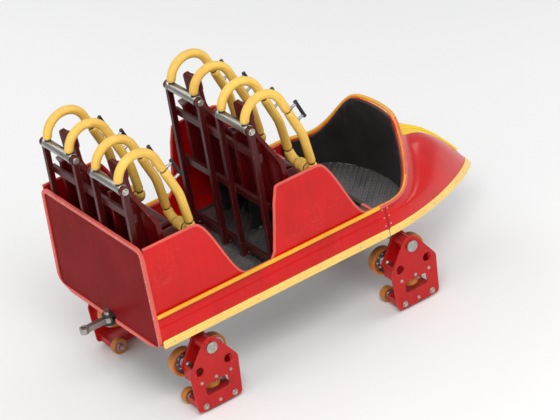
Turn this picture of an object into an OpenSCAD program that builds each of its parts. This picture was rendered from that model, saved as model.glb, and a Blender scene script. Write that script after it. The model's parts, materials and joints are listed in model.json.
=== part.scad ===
// Lead car of a looping roller coaster train: two rows of two seats behind a
// pointed, drooping nose. +X is forward, +Y the car's left side, +Z up. The
// origin is below the middle of the car, where its upstop wheels touch the floor.

/* [Body] */
// Length of the body from its rear panel to the nose tip
body_len = 3000; // [2940:20:3100]
// Width of the body at its lower edge
body_w = 1280; // [1270:2:1310]
// Height of the body's lower edge along the sides
sill_z = 615; // [605:1:625]
// Height of the side rim above the lower edge
side_h = 235; // [225:5:260]
// Height of the cowl's top above the side rim
cowl_rise = 350; // [300:10:380]
// Distance from the cowl's top centre to the nose tip
nose_len = 700; // [640:10:740]
// Drop of the lower edge from the sides to the nose tip
nose_droop = 190; // [150:10:200]
// Length of the rounded front of the cockpit opening
cowl_round = 450; // [400:10:470]
// How much narrower each side is at the rim than at the lower edge
tumblehome = 20; // [14:1:26]
// Wall of the moulded body shells
wall = 12; // [10:1:14]
// Height of the rear panel and the side wings above the side rim
wing_rise = 510; // [460:10:540]
// Width of the yellow ridge band on the nose
ridge_w = 90; // [70:5:110]

/* [Seats] */
// Legroom from the front edge of the front seats to the cowl
front_room = 660; // [640:5:680]
// Gap between the two seats of a row
seat_mid_gap = 40; // [30:2:50]
// Gap between a seat and the wall of the body at the rim
seat_side_gap = 28; // [22:2:40]
// Height of the cushion's top above the floor
cushion_h = 410; // [380:10:430]
// Length of the seat cushion
cushion_len = 430; // [400:10:450]
// Height of the shoulder line above the cushion
shoulder_h = 590; // [570:10:600]
// Height of the headrest's top above the cushion
headrest_h = 800; // [760:10:815]
// Width of the headrest
headrest_w = 180; // [160:5:186]

/* [Restraints] */
// Diameter of the padded restraint tubes
bar_d = 60; // [54:2:64]
// Distance between the two shoulder tubes of one restraint
bar_spacing = 270; // [266:2:280]
// Radius of the arch over the shoulders
arch_r = 150; // [140:5:170]
// Height of the restraint's pivot above the cushion
pivot_h = 690; // [685:5:710]
// Diameter of the restraint's hinge pin
hinge_pin_d = 30; // [24:2:32]

/* [Running gear] */
// Distance from the rear panel to the rear axle
rear_overhang = 350; // [330:10:370]
// Distance between the two axles
wheelbase = 1650; // [1600:10:1700]
// Distance between the centres of the two rails
gauge = 880; // [870:2:884]
// Diameter of the rail tubes that the wheels run on
rail_d = 114; // [108:1:120]
// Diameter of a running wheel
run_d = 200; // [180:5:205]
// Diameter of an upstop wheel
upstop_d = 110; // [100:5:115]
// Diameter of a guide wheel
guide_d = 120; // [110:5:122]
// Distance between the tandem wheels of one carrier
tandem = 230; // [222:2:250]
// Diameter of the wheel pins
wheel_pin_d = 30; // [24:2:34]
// Diameter of the axle's spindle in the carrier
spindle_d = 60; // [50:2:64]
// Height of the axle's centre above the running wheel's centre
axle_lift = 146; // [143:1:152]

/* [Couplings] */
// How far the drawbar reaches behind the rear panel
drawbar_reach = 240; // [230:5:280]
// Diameter of the coupling pins' bores
coupling_bore_d = 30; // [26:1:34]

/* [Hidden] */
$fn = 48;

// Clearances: between pieces that are bolted together, and round a running pin
seat_gap = 0.3;
run_fit = 0.05;

// Places along the car
band_t = 8;
car_len = body_len + drawbar_reach + band_t;
rear_x = drawbar_reach - car_len / 2;
tip_x = rear_x + body_len;
cowl_x = tip_x - nose_len;
split_x = cowl_x - cowl_round;
side_x0 = rear_x + wall + seat_gap;
rear_axle_x = rear_x + rear_overhang;
front_axle_x = rear_axle_x + wheelbase;

// Posts of the seat frames and the hinge line, behind the back of a seat
post_w = 30;
post_d = 40;
post_x = -65;
pivot_x = -45;
back_t_low = 150;
seat_len = back_t_low + cushion_len;
first_row_x = side_x0 - post_x;
row_pitch = cowl_x - front_room - seat_len - first_row_x;
row_x = [first_row_x, first_row_x + row_pitch];
seat_w = body_w / 2 - tumblehome - wall - seat_side_gap - seat_mid_gap / 2;
seat_pitch = seat_w + seat_mid_gap;

// Heights
half_body = body_w / 2;
rim_z = sill_z + side_h;
cowl_z = rim_z + cowl_rise;
wing_z = rim_z + wing_rise;
floor_t = 8;
floor_z = sill_z + 25;
cushion_z = floor_z + cushion_h;
pivot_z = cushion_z + pivot_h;
rail_z = upstop_d + rail_d / 2;
run_z = rail_z + rail_d / 2 + run_d / 2;
axle_z = run_z + axle_lift;
chassis_top = floor_z - floor_t - seat_gap;

// The nose: angle a runs round the cockpit front from the right side (-90) over the
// centre (0) to the left (90), and h runs outwards from the rim (0) to the lower edge (1).
plan_power = 1.5;
plan_bluntness = 0.85;
lip_run = 0.2;
lip_drop = 0.32;
deck_power = 1.6;
side_bulge = 12;
cowl_flat = 0.32;
cowl_turn = 0.62;

function step(t) = let (c = min(1, max(0, t))) c * c * (3 - 2 * c);
function taper(x) = min(1, max(0, (x - split_x) / (tip_x - split_x)));
function plan_half(x, w) = w * pow(max(0, 1 - pow(taper(x), plan_power)), plan_bluntness);
function sill_at(x) = sill_z - nose_droop * pow(taper(x), 1.5);
function rim_half() = half_body - tumblehome;
function rim_height(s) = rim_z + cowl_rise * (1 - step((s - cowl_flat) / cowl_turn));
function drop_share(h) =
  h < lip_run ? lip_drop * (1 - pow(1 - h / lip_run, 2))
              : lip_drop + (1 - lip_drop) * pow((h - lip_run) / (1 - lip_run), deck_power);
// A point of the nose's skin, moved inwards by t
function skin(a, h, t) =
  let (
    rim = [split_x + (cowl_round - t) * cos(a), (rim_half() - t) * sin(a), rim_height(abs(sin(a)))],
    foot_x = split_x + (tip_x - split_x) * cos(a),
    foot = [split_x + (tip_x - split_x - 2.5 * t) * cos(a),
            sign(a) * plan_half(foot_x, half_body - t), sill_at(foot_x)],
    d = drop_share(h),
    bulge = side_bulge * sin(180 * d) * abs(sin(a))
  )
  [rim[0] + (foot[0] - rim[0]) * h + bulge * cos(a),
   rim[1] + (foot[1] - rim[1]) * h + bulge * sign(a),
   rim[2] + (foot[2] - rim[2]) * d - t * sin(180 * d) * cos(a)];

function unit(v) = v / norm(v);
// Direction out of the skin at a point
function skin_out(a, h) =
  let (da = skin(a + 2, h, 0) - skin(a - 2, h, 0), dh = skin(a, min(1, h + 0.02), 0) - skin(a, h - 0.02, 0))
  unit(cross(dh, da));
// The share h at which the skin is a given height above its lower edge
function h_above(a, up) =
  let (d = 1 - up / (rim_height(abs(sin(a))) - sill_at(split_x + (tip_x - split_x) * cos(a))))
  lip_run + (1 - lip_run) * pow((d - lip_drop) / (1 - lip_drop), 1 / deck_power);

// Closed shell between two grids of points with the same rows and columns
module shell(outer, inner) {
  rows = len(outer);
  cols = len(outer[0]);
  n = rows * cols;
  points = concat([for (r = outer) each r], [for (r = inner) each r]);
  quad = function(a, b, c, d) [[a, b, c], [a, c, d]];
  faces = concat(
    [for (i = [0:rows - 2], j = [0:cols - 2])
      each quad(i * cols + j, i * cols + j + 1, (i + 1) * cols + j + 1, (i + 1) * cols + j)],
    [for (i = [0:rows - 2], j = [0:cols - 2])
      each quad(n + (i + 1) * cols + j, n + (i + 1) * cols + j + 1, n + i * cols + j + 1, n + i * cols + j)],
    [for (j = [0:cols - 2]) each quad(n + j, n + j + 1, j + 1, j)],
    [for (j = [0:cols - 2])
      let (k = (rows - 1) * cols + j) each quad(k, k + 1, n + k + 1, n + k)],
    [for (i = [0:rows - 2])
      let (k = i * cols) each quad(k, k + cols, n + k + cols, n + k)],
    [for (i = [0:rows - 2])
      let (k = i * cols + cols - 1) each quad(n + k, n + k + cols, k + cols, k)]
  );
  polyhedron(points = points, faces = faces, convexity = 6);
}

// Tube of radius r swept along a path; side gives the direction that stays across it
module swept_tube(path, r, side, sides = 10) {
  n = len(path);
  unit = function(v) v / norm(v);
  ring = function(i) let (
    along = unit(path[min(n - 1, i + 1)] - path[max(0, i - 1)]),
    across = unit(cross(side, along)),
    up = cross(along, across)
  ) [for (k = [0:sides - 1]) path[i] + r * (cos(360 * k / sides) * across + sin(360 * k / sides) * up)];
  points = [for (i = [0:n - 1]) each ring(i)];
  faces = concat(
    [[for (k = [0:sides - 1]) k]],
    [for (i = [0:n - 2], k = [0:sides - 1])
      let (k2 = (k + 1) % sides) [i * sides + k, (i + 1) * sides + k, (i + 1) * sides + k2]],
    [for (i = [0:n - 2], k = [0:sides - 1])
      let (k2 = (k + 1) % sides) [i * sides + k, (i + 1) * sides + k2, i * sides + k2]],
    [[for (k = [sides - 1:-1:0]) (n - 1) * sides + k]]
  );
  polyhedron(points = points, faces = faces, convexity = 6);
}

// Rows of the nose's skin, from the rim down: even steps to the band's top edge, then the band's own
nose_steps = 32;
nose_step = 180 / nose_steps;
deck_steps = 12;
band_h = 62;
band_ups = [band_h, band_h * 0.7, band_h * 0.25, 0];
rows = deck_steps + len(band_ups) - 1;
function row_h(a, j) =
  j <= deck_steps ? h_above(a, band_h) * j / deck_steps : h_above(a, band_ups[j - deck_steps]);
function skin_row(a, j, t) = skin(a, row_h(a, j), t);

// Nose moulding with the raised cowl, from the panel joint to the tip
module nose_shell() {
  angles = [for (i = [0:nose_steps]) -90 + nose_step * i];
  color("firebrick") translate([seat_gap, 0, 0])
    shell([for (j = [0:rows]) [for (a = angles) skin_row(a, j, 0)]],
          [for (j = [0:rows]) [for (a = angles) skin_row(a, j, wall)]]);
}

// Raised yellow band along the middle of the nose, pointed at the tip like the shell's own facets
ridge_rise = 14;
module nose_ridge() {
  share = min(1, ridge_w / (2 * rim_half() * sin(nose_step)));
  place = [-share, -share * 0.6, 0, share * 0.6, share];
  crown = [0.15, 0.8, 1, 0.8, 0.15];
  base = function(j, k) let (
    mid = skin_row(0, j, 0),
    edge = skin_row(sign(place[k]) * nose_step, j, 0)
  ) mid + (edge - mid) * abs(place[k]) + (seat_gap + 0.3) * skin_out(0, row_h(0, j));
  color("gold") translate([seat_gap, 0, 0])
    shell([for (j = [1:deck_steps - 1]) [for (k = [0:4]) base(j, k) + ridge_rise * crown[k] * skin_out(0, row_h(0, j))]],
          [for (j = [1:deck_steps - 1]) [for (k = [0:4]) base(j, k)]]);
}

// Section of a body side, the same as the nose's at the joint
function side_section(t) = [for (j = [0:rows]) let (p = skin_row(90, j, t)) [p[1], p[2]]];

// Upper edge of the side: the rim, with a wing beside each row of seats
wing_flat = 330;
wing_fall = 330;
wing_root = 120;
function wing_edge(x) = rim_z + wing_rise * max(
  1 - step((x - row_x[0] - wing_flat) / wing_fall),
  step((x - row_x[1] + wing_root) / wing_root) * (1 - step((x - row_x[1] - wing_flat) / wing_fall)));

module body_side() {
  outer = side_section(0);
  inner = side_section(wall);
  steps = 60;
  color("firebrick") {
    translate([rear_x + wall + seat_gap, 0, 0]) rotate([90, 0, 90])
      linear_extrude(split_x - rear_x - wall - seat_gap)
        polygon(concat(outer, [for (k = [len(inner) - 1:-1:0]) inner[k]]));
    difference() {
      translate([0, rim_half(), 0]) rotate([90, 0, 0]) linear_extrude(wall)
        polygon(concat(
          [for (i = [0:steps]) let (x = rear_x + wall + seat_gap + (split_x - rear_x - wall - seat_gap) * i / steps)
            [x, wing_edge(x)]],
          [[split_x, rim_z - 1], [rear_x + wall + seat_gap, rim_z - 1]]));
    }
  }
}

module side_left() { body_side(); }
module side_right() { mirror([0, 1, 0]) body_side(); }

// Flat panel that closes the car behind the rear seats
panel_corner = 70;
module panel_outline(inset) {
  w = half_body - inset;
  top = wing_z - inset;
  low = sill_z - 30 + inset;
  r = panel_corner - inset;
  hull() {
    for (s = [-1, 1]) {
      translate([s * (w - tumblehome - r), top - r]) circle(r, $fn = 32);
      translate([s * (w - 100 - r), low + r]) circle(r, $fn = 32);
      translate([s * (w - r), sill_z + r]) circle(r, $fn = 32);
    }
  }
}

panel_bead = 8;
notch_w = 150;
module drawbar_notch(inset) {
  top = hitch_z + 62 - inset;
  w = notch_w - 2 * inset;
  translate([-w / 2, sill_z - 100]) square([w, top - sill_z + 100]);
}
module rear_panel() {
  color("darkred") translate([rear_x, 0, 0]) rotate([90, 0, 90]) {
    linear_extrude(wall) difference() {
      panel_outline(0);
      drawbar_notch(0);
    }
    translate([0, 0, -panel_bead]) linear_extrude(wall) difference() {
      panel_outline(0);
      panel_outline(28);
      drawbar_notch(0);
    }
  }
}

// Rounded coaming on the rim: along both sides and over the cowl
coaming_r = 15;
coaming_out = coaming_r + 1.2;
coaming_up = 4;
function rim_path() = concat(
  [for (i = [0:4]) [side_x0 + (split_x - side_x0) * i / 5, -rim_half() - coaming_out, rim_z + coaming_up]],
  [for (i = [0:24]) skin(-90 + 7.5 * i, 0, -coaming_out) + [0, 0, coaming_up]],
  [for (i = [4:-1:0]) [side_x0 + (split_x - side_x0) * i / 5, rim_half() + coaming_out, rim_z + coaming_up]]);
module rim_coaming() {
  color("goldenrod") swept_tube(rim_path(), coaming_r, [0, 0, 1]);
}

// Pale band along the whole lower edge, round the nose tip
module sill_band() {
  proud = [0.5, 1, 1, 1];
  nose_row = function(k, out) [for (i = [0:nose_steps]) let (
      a = -90 + nose_step * i,
      flat = a == 0 ? [1, 0, 0] : unit([for (c = [0, 1, 2]) c == 2 ? 0 : skin_out(a, 1)[c]])
    ) skin_row(a, deck_steps + k, 0) + out * flat + [seat_gap, 0, 0]];
  side_row = function(k, s, out) let (p = skin_row(90 * s, deck_steps + k, 0))
    [for (i = [0:3]) [side_x0 + (split_x - side_x0) * i / 4, p[1] + s * out, p[2]]];
  row = function(k, out) concat(
    side_row(k, -1, out), nose_row(k, out),
    [for (i = [3:-1:0]) side_row(k, 1, out)[i]]);
  color("moccasin") shell([for (k = [0:3]) row(k, seat_gap + (band_t - 2 * seat_gap) * proud[k])],
                          [for (k = [0:3]) row(k, 2 * seat_gap)]);
}

module floor_pan() {
  color("dimgray") translate([0, 0, floor_z - floor_t]) linear_extrude(floor_t)
    polygon(concat(
      [[rear_x + wall + seat_gap, -(half_body - wall - 5)]],
      [for (i = [0:24]) let (a = -90 + 180 * i / 24, p = skin(a, 0, wall + 5)) [p[0], p[1]]],
      [[rear_x + wall + seat_gap, half_body - wall - 5]]));
}

// Black inner wall of the front foot well
module foot_well() {
  steps = 24;
  rows = 5;
  wall_in = 6;
  point = function(j, i, t) let (
    a = -88 + 176 * i / steps,
    p = skin(a, 0, wall + 2 + t),
    z = p[2] - 10
  ) [p[0], p[1], z + (floor_z + seat_gap - z) * j / rows];
  color("black")
    shell([for (j = [0:rows]) [for (i = [0:steps]) point(j, i, 0)]],
          [for (j = [0:rows]) [for (i = [0:steps]) point(j, i, wall_in)]]);
}

// Ladder frame under the floor: two long beams with the axle saddles, cross members between them
beam_y = 260;
beam_w = 60;
beam_h = 80;
chassis_front = cowl_x + 80;
axle_tube_r = 38;
saddle_w = 70;
cross_w = 50;
cross_h = 60;
cross_z = chassis_top - beam_h + 10;
clevis_x = rear_x - 20;
hitch_z = chassis_top - beam_h / 2;
tow_x = tip_x - 290;
tow_w = 60;
tow_eye_r = 45;
dog_x = -120;
dog_z = chassis_top - beam_h - 45;
cross_x = [rear_x + 60, rear_axle_x + 160, dog_x + 120, front_axle_x - 120, chassis_front - 40];
flange_w = 120;
flange_t = 12;

module chassis_beam(s) {
  color("dimgray") difference() {
    union() {
      translate([rear_x + 20, s * beam_y - beam_w / 2, chassis_top - beam_h])
        cube([chassis_front - rear_x - 20, beam_w, beam_h]);
      for (x = [rear_axle_x, front_axle_x])
        translate([x - 60, s * beam_y - saddle_w / 2, axle_z - axle_tube_r - 20])
          cube([120, saddle_w, chassis_top - beam_h - axle_z + axle_tube_r + 21]);
    }
    for (x = [rear_axle_x, front_axle_x])
      translate([x, s * beam_y + saddle_w, axle_z]) rotate([90, 0, 0])
        cylinder(r = axle_tube_r + seat_gap / 2, h = 2 * saddle_w);
  }
}
module cross_members() {
  half = beam_y - beam_w / 2 - seat_gap;
  color("dimgray") for (x = cross_x)
    translate([x - cross_w / 2, -half, cross_z]) cube([cross_w, 2 * half, cross_h]);
}

// Tow arm under the nose, bolted to the foremost cross member
module tow_arm() {
  back = cross_x[4] + cross_w / 2 + seat_gap;
  color("dimgray") difference() {
    union() {
      translate([back, -flange_w / 2, cross_z]) cube([flange_t, flange_w, cross_h]);
      translate([back, -tow_w / 2, cross_z]) cube([tow_x - back, tow_w, cross_h]);
      translate([tow_x, 0, cross_z]) cylinder(r = tow_eye_r, h = cross_h);
    }
    translate([tow_x, 0, cross_z - 10]) cylinder(d = coupling_bore_d, h = cross_h + 20);
  }
}

// Clevis with the drawbar's pin, bolted to the rearmost cross member
module coupling_clevis() {
  plate_t = 18;
  jaw = 42;
  back = cross_x[0] - cross_w / 2 - seat_gap - flange_t;
  low = hitch_z - jaw / 2 - plate_t;
  color("dimgray") {
    for (z = [low, hitch_z + jaw / 2]) translate([clevis_x, 0, z]) {
      cylinder(r = 38, h = plate_t);
      translate([0, -38, 0]) cube([back - clevis_x + 1, 76, plate_t]);
    }
    translate([back, -flange_w / 2, low]) cube([flange_t, flange_w, jaw + 2 * plate_t]);
    translate([clevis_x, 0, low - 7]) cylinder(d = coupling_bore_d, h = jaw + 2 * plate_t + 7);
  }
}

// Bracket with the chain dog's pin, bolted under the middle cross member
module dog_bracket() {
  top = cross_z - seat_gap;
  color("dimgray") {
    for (s = [-1, 1]) translate([dog_x - 35, s * 32 - 8, dog_z - 30]) cube([170, 16, top - dog_z + 30]);
    translate([dog_x - 35, -40, top - 10]) cube([170, 80, 10]);
    translate([dog_x, 40, dog_z]) rotate([90, 0, 0]) cylinder(r = 12, h = 80);
  }
}

// Axle beam with a spindle and an end cap on each side
run_w = 70;
inner_plate_y = gauge / 2 + run_w / 2 + 12;
inner_plate_t = 18;
guide_y = gauge / 2 + rail_d / 2 + guide_d / 2;
outer_plate_y = guide_y + guide_d / 2 + 12;
outer_plate_t = 12;
hub_in = inner_plate_y - 8;
hub_out = outer_plate_y + outer_plate_t + 6;
module axle(x) {
  color("gray") translate([x, 0, axle_z]) rotate([90, 0, 0]) {
    translate([0, 0, -hub_in + 1]) cylinder(r = axle_tube_r, h = 2 * hub_in - 2);
    translate([0, 0, -hub_out - 1]) cylinder(d = spindle_d, h = 2 * hub_out + 2);
    for (s = [-1, 1]) translate([0, 0, s * (hub_out + 8) - 7]) cylinder(r = spindle_d / 2 + 12, h = 14);
  }
}
module axle_front() { axle(front_axle_x); }
module axle_rear() { axle(rear_axle_x); }

// Wheel carrier: a frame that wraps the rail from outside, pivoting on the spindle
plate_low = 22;
plate_reach = tandem / 2 + 25;
shelf_z = rail_z + rail_d / 2 + 6;
shelf_t = 16;
shelf_len = 2 * plate_reach + 20;
web_t = 16;
web_x = shelf_len / 2 - web_t;
web_top = run_z + 11;
window_x = 70;
window_r = 22;
nut_hole_r = 34;
beam_low_z = upstop_d / 2;
pin_r = wheel_pin_d / 2;
module outer_plate_form() {
  difference() {
    union() {
      hull() {
        translate([0, axle_z]) circle(spindle_d / 2 + 40, $fn = 32);
        for (s = [-1, 1]) translate([s * plate_reach, run_z - 20]) circle(50, $fn = 32);
      }
      hull() for (s = [-1, 1]) {
        translate([s * plate_reach, run_z - 20]) circle(50, $fn = 32);
        translate([s * (plate_reach + 5), plate_low + 30]) circle(30, $fn = 32);
      }
    }
    hull() for (s = [-1, 1], t = [-1, 1])
      translate([s * window_x, rail_z + t * window_r]) circle(window_r, $fn = 24);
    for (s = [-1, 1]) translate([s * tandem / 2, run_z]) circle(nut_hole_r, $fn = 32);
  }
}
module carrier(x, side) {
  color("firebrick") translate([x, 0, 0]) mirror([0, side < 0 ? 1 : 0, 0]) difference() {
    union() {
      translate([0, outer_plate_y + outer_plate_t, 0]) rotate([90, 0, 0])
        linear_extrude(outer_plate_t) outer_plate_form();
      translate([0, inner_plate_y + inner_plate_t, 0]) rotate([90, 0, 0]) linear_extrude(inner_plate_t)
        hull() {
          translate([0, axle_z]) circle(58, $fn = 32);
          for (s = [-1, 1]) translate([s * (tandem / 2 + 15), run_z - 5]) circle(32, $fn = 32);
        }
      translate([0, hub_out - 0.5, axle_z]) rotate([90, 0, 0])
        cylinder(r = spindle_d / 2 + 16, h = hub_out - hub_in - 0.5);
      for (s = [-1, 1]) translate([s * web_x - (s < 0 ? 0 : web_t) + s * web_t, inner_plate_y, shelf_z])
        cube([web_t, outer_plate_y - inner_plate_y + 1, web_top - shelf_z]);
      translate([-shelf_len / 2, inner_plate_y, shelf_z])
        cube([shelf_len, outer_plate_y - inner_plate_y + 1, shelf_t]);
      translate([-shelf_len / 2, inner_plate_y, shelf_z]) cube([shelf_len, inner_plate_t, 80]);
      translate([-shelf_len / 2, inner_plate_y + 4, beam_low_z - 24])
        cube([shelf_len, outer_plate_y - inner_plate_y - 3, 48]);
      for (s = [-1, 1]) {
        translate([s * tandem / 2, inner_plate_y + 1, run_z]) rotate([90, 0, 0])
          cylinder(r = pin_r, h = run_w + 34);
        translate([s * tandem / 2, inner_plate_y + 5, beam_low_z]) rotate([90, 0, 0])
          cylinder(r = pin_r, h = upstop_w / 2 + inner_plate_y - gauge / 2 + 16);
        translate([s * tandem / 2, gauge / 2 - run_w / 2 - 2, run_z]) rotate([90, 0, 0])
          cylinder(r = pin_r + 9, h = 10);
        translate([s * tandem / 2, gauge / 2 - upstop_w / 2 - 2, beam_low_z]) rotate([90, 0, 0])
          cylinder(r = pin_r + 9, h = 8);
      }
      translate([0, guide_y, rail_z - guide_w / 2 - 10])
        cylinder(r = pin_r, h = shelf_z + shelf_t + 22 - rail_z + guide_w / 2);
      translate([0, guide_y, rail_z - guide_w / 2 - 10]) cylinder(r = pin_r + 9, h = 8);
      translate([0, guide_y, rail_z + guide_w / 2 + 2])
        cylinder(r = pin_r + 9, h = shelf_z + 1 - rail_z - guide_w / 2 - 2);
    }
    translate([0, hub_out + 10, axle_z]) rotate([90, 0, 0])
      cylinder(r = spindle_d / 2 + run_fit, h = hub_out);
  }
}

// Wheel along Y or Z: tread on a hub whose faces are recessed
upstop_w = 60;
guide_w = 56;
module wheel(d, w) {
  hub_r = pin_r + 14;
  rim_r = d / 2 - 22;
  tread_round = 6;
  difference() {
    rotate_extrude() polygon([
      [pin_r + run_fit, -w / 2], [hub_r, -w / 2], [hub_r, -w / 2 + 10], [rim_r, -w / 2 + 10], [rim_r, -w / 2 + 3],
      [d / 2 - tread_round, -w / 2 + 3], [d / 2, -w / 2 + 3 + tread_round],
      [d / 2, w / 2 - 3 - tread_round], [d / 2 - tread_round, w / 2 - 3], [rim_r, w / 2 - 3],
      [rim_r, w / 2 - 10], [hub_r, w / 2 - 10], [hub_r, w / 2], [pin_r + run_fit, w / 2]]);
  }
}

module run_wheel(x, side, end) {
  color("orange") translate([x + end * tandem / 2, side * gauge / 2, run_z]) rotate([90, 0, 0]) wheel(run_d, run_w);
}
module upstop(x, side, end) {
  color("orange") translate([x + end * tandem / 2, side * gauge / 2, beam_low_z]) rotate([90, 0, 0])
    wheel(upstop_d, upstop_w);
}
module guide(x, side) {
  color("orange") translate([x, side * guide_y, rail_z]) wheel(guide_d, guide_w);
}

// Drawbar to the next car, on the vertical pin of the coupling clevis
module drawbar() {
  eye_r = 32;
  eye_x = -car_len / 2 + eye_r;
  bar_h = 40;
  color("dimgray") translate([0, 0, hitch_z - bar_h / 2]) difference() {
    union() {
      translate([clevis_x, 0, 0]) cylinder(r = 34, h = bar_h);
      translate([eye_x, 0, 0]) cylinder(r = eye_r, h = bar_h);
      translate([eye_x, -20, 0]) cube([clevis_x - eye_x, 40, bar_h]);
    }
    translate([clevis_x, 0, -1]) cylinder(r = coupling_bore_d / 2 + run_fit, h = bar_h + 2);
    translate([eye_x, 0, -1]) cylinder(d = coupling_bore_d, h = bar_h + 2);
  }
}

// Pawl that the lift chain pushes, hinged in its bracket
module chain_dog() {
  color("darkgray") translate([dog_x, 0, dog_z]) rotate([90, 0, 0]) difference() {
    translate([0, 0, -20]) linear_extrude(40) difference() {
      hull() {
        circle(28, $fn = 32);
        translate([-30, -130]) circle(16, $fn = 32);
        translate([30, -120]) circle(14, $fn = 32);
      }
      translate([40, -150]) circle(34);
    }
    cylinder(r = 12 + run_fit, h = 60, center = true);
  }
}

// Bar across the front foot well that the front riders hold
module grab_bar() {
  flange_r = 26;
  flange_t = 10;
  drop = 40;
  top = skin_row(90, 0, wall);
  below = skin_row(90, 1, wall);
  w = top[1] + (below[1] - top[1]) * (drop - flange_r) / (top[2] - below[2]) - seat_gap;
  color("indianred") translate([split_x - 60, 0, rim_z - drop]) {
    rotate([90, 0, 0]) cylinder(r = 16, h = 2 * w - flange_t - 2, center = true);
    for (s = [-1, 1]) translate([0, s * (w - flange_t / 2), 0]) rotate([90, 0, 0])
      cylinder(r = flange_r, h = flange_t, center = true);
  }
}

// Steel frame behind a row, with the hinge ears of its restraints
sleeve_d = bar_d + 5;
sleeve_lap = 6;
hub_len = bar_spacing + sleeve_d + 8;
module seat_frame(row) {
  color("darkslategray") translate([row_x[row], 0, 0]) {
    for (s = [-1, 1]) {
      for (e = [-1, 1]) {
        y = s * seat_pitch / 2 + e * (hub_len / 2 + 2 + post_w / 2);
        translate([post_x, y - post_w / 2, floor_z + seat_gap])
          cube([post_d, post_w, pivot_z - floor_z - seat_gap]);
        translate([pivot_x, y + post_w / 2, pivot_z]) rotate([90, 0, 0]) cylinder(r = 32, h = post_w);
      }
      translate([pivot_x, s * seat_pitch / 2 + hub_len / 2 + 10, pivot_z]) rotate([90, 0, 0])
        cylinder(d = hinge_pin_d, h = hub_len + 20);
    }
    for (z = [floor_z + 40, cushion_z + 80, cushion_z + shoulder_h - 140])
      translate([post_x + post_d - 1, -seat_pitch / 2 - hub_len / 2 - post_w - 2, z])
        cube([-post_x - post_d + 1 - seat_gap, seat_pitch + hub_len + 2 * post_w + 4, 50]);
  }
}
module seat_frame_front() { seat_frame(1); }
module seat_frame_rear() { seat_frame(0); }

// Moulded bucket seat. Its middle line runs t mm from the front lip over the cushion, round the
// crease and up the back; u runs across from -1 to 1. Bolsters and pads stand up from the line.
lip_r = 45;
crease_r = 70;
cushion_tilt = 3;
back_lean = 4.5;
bolster = 50;
pad_t = 40;
mould_t = 28;
lip_at = [seat_len - 5 - lip_r, -pad_t - lip_r];
crease_x = back_t_low - pad_t + crease_r;
lip_turn = 90 + cushion_tilt;
crease_turn = 90 + cushion_tilt - back_lean;
flat_start = lip_at + lip_r * [cos(lip_turn), sin(lip_turn)];
flat_len = (flat_start[0] - crease_x) / cos(cushion_tilt) - crease_r * tan(cushion_tilt);
crease_start = flat_start - flat_len * [cos(cushion_tilt), sin(cushion_tilt)];
crease_at = crease_start + crease_r * [-sin(cushion_tilt), cos(cushion_tilt)];
back_start = crease_at - crease_r * [cos(back_lean), sin(back_lean)];
t_flat = lip_r * lip_turn * PI / 180;
t_crease = t_flat + flat_len;
t_back = t_crease + crease_r * crease_turn * PI / 180;
t_top = t_back + (headrest_h - back_start[1]) / cos(back_lean);
// Direction out of the seat at t, as an angle from +X
function seat_turn(t) =
  t < t_flat ? t / lip_r * 180 / PI
  : t < t_crease ? lip_turn
  : t < t_back ? lip_turn - (t - t_crease) / crease_r * 180 / PI
  : back_lean;
function seat_at(t) = let (a = seat_turn(t))
  t < t_flat ? lip_at + lip_r * [cos(a), sin(a)]
  : t < t_crease ? flat_start - (t - t_flat) * [cos(cushion_tilt), sin(cushion_tilt)]
  : t < t_back ? crease_at - crease_r * [cos(a), sin(a)]
  : back_start + (t - t_back) * [-sin(back_lean), cos(back_lean)];
// Half width at t: the lip and the headrest's top are rounded, and the shoulders narrow to the headrest
function seat_half(t) = let (
    z = seat_at(t)[1],
    narrow = step((z - shoulder_h + 110) / 130),
    lip = 1 - 0.05 * pow(max(0, 1 - t / t_flat), 2),
    top = sqrt(1 - 0.6 * pow(max(0, (z - headrest_h + 45) / 45), 2))
  ) (seat_w / 2 * (1 - narrow) + headrest_w / 2 * narrow) * lip * top;
function bolster_at(t, u) = let (z = seat_at(t)[1], e = (abs(u) - 0.66) / 0.27)
  e <= 0 ? 0 : bolster * (e < 1 ? sin(90 * e) : 1 - 0.24 * (e - 1) / 0.26)
    * step((t - 40) / 80) * (1 - step((z - shoulder_h + 190) / 120));
function pad_span(t, low, high) = step((t - low) / 15) * step((high - t) / 15);
function pad_at(t, u) = pad_t * step((0.68 - abs(u)) / 0.08)
  * (pad_span(t, t_flat + 12, t_crease - 10) + pad_span(t, t_back + 8, t_back + 560)
     + pad_span(t, t_top - 135, t_top - 18));
function seat_point(t, u, out) = let (a = seat_turn(t), p = seat_at(t))
  [p[0] + out * cos(a), u * seat_half(t), cushion_z + p[1] + out * sin(a)];
seat_columns = [-1, -0.93, -0.8, -0.68, -0.6, 0, 0.6, 0.68, 0.8, 0.93, 1];
seat_rows = [
  0, t_flat / 2, t_flat, t_flat + 12, t_flat + 27, t_flat + 170, t_crease - 25, t_crease - 10,
  t_crease + 25, t_crease + 55, t_back - 20, t_back + 8, t_back + 23, t_back + 200, t_back + 380, t_back + 480,
  t_back + 545, t_back + 560, t_back + 610, t_top - 135, t_top - 120, t_top - 33, t_top - 18, t_top];
rib_y = 120;
rib_t = 30;
foot_t = 12;
foot_half = seat_w / 3;
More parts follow.
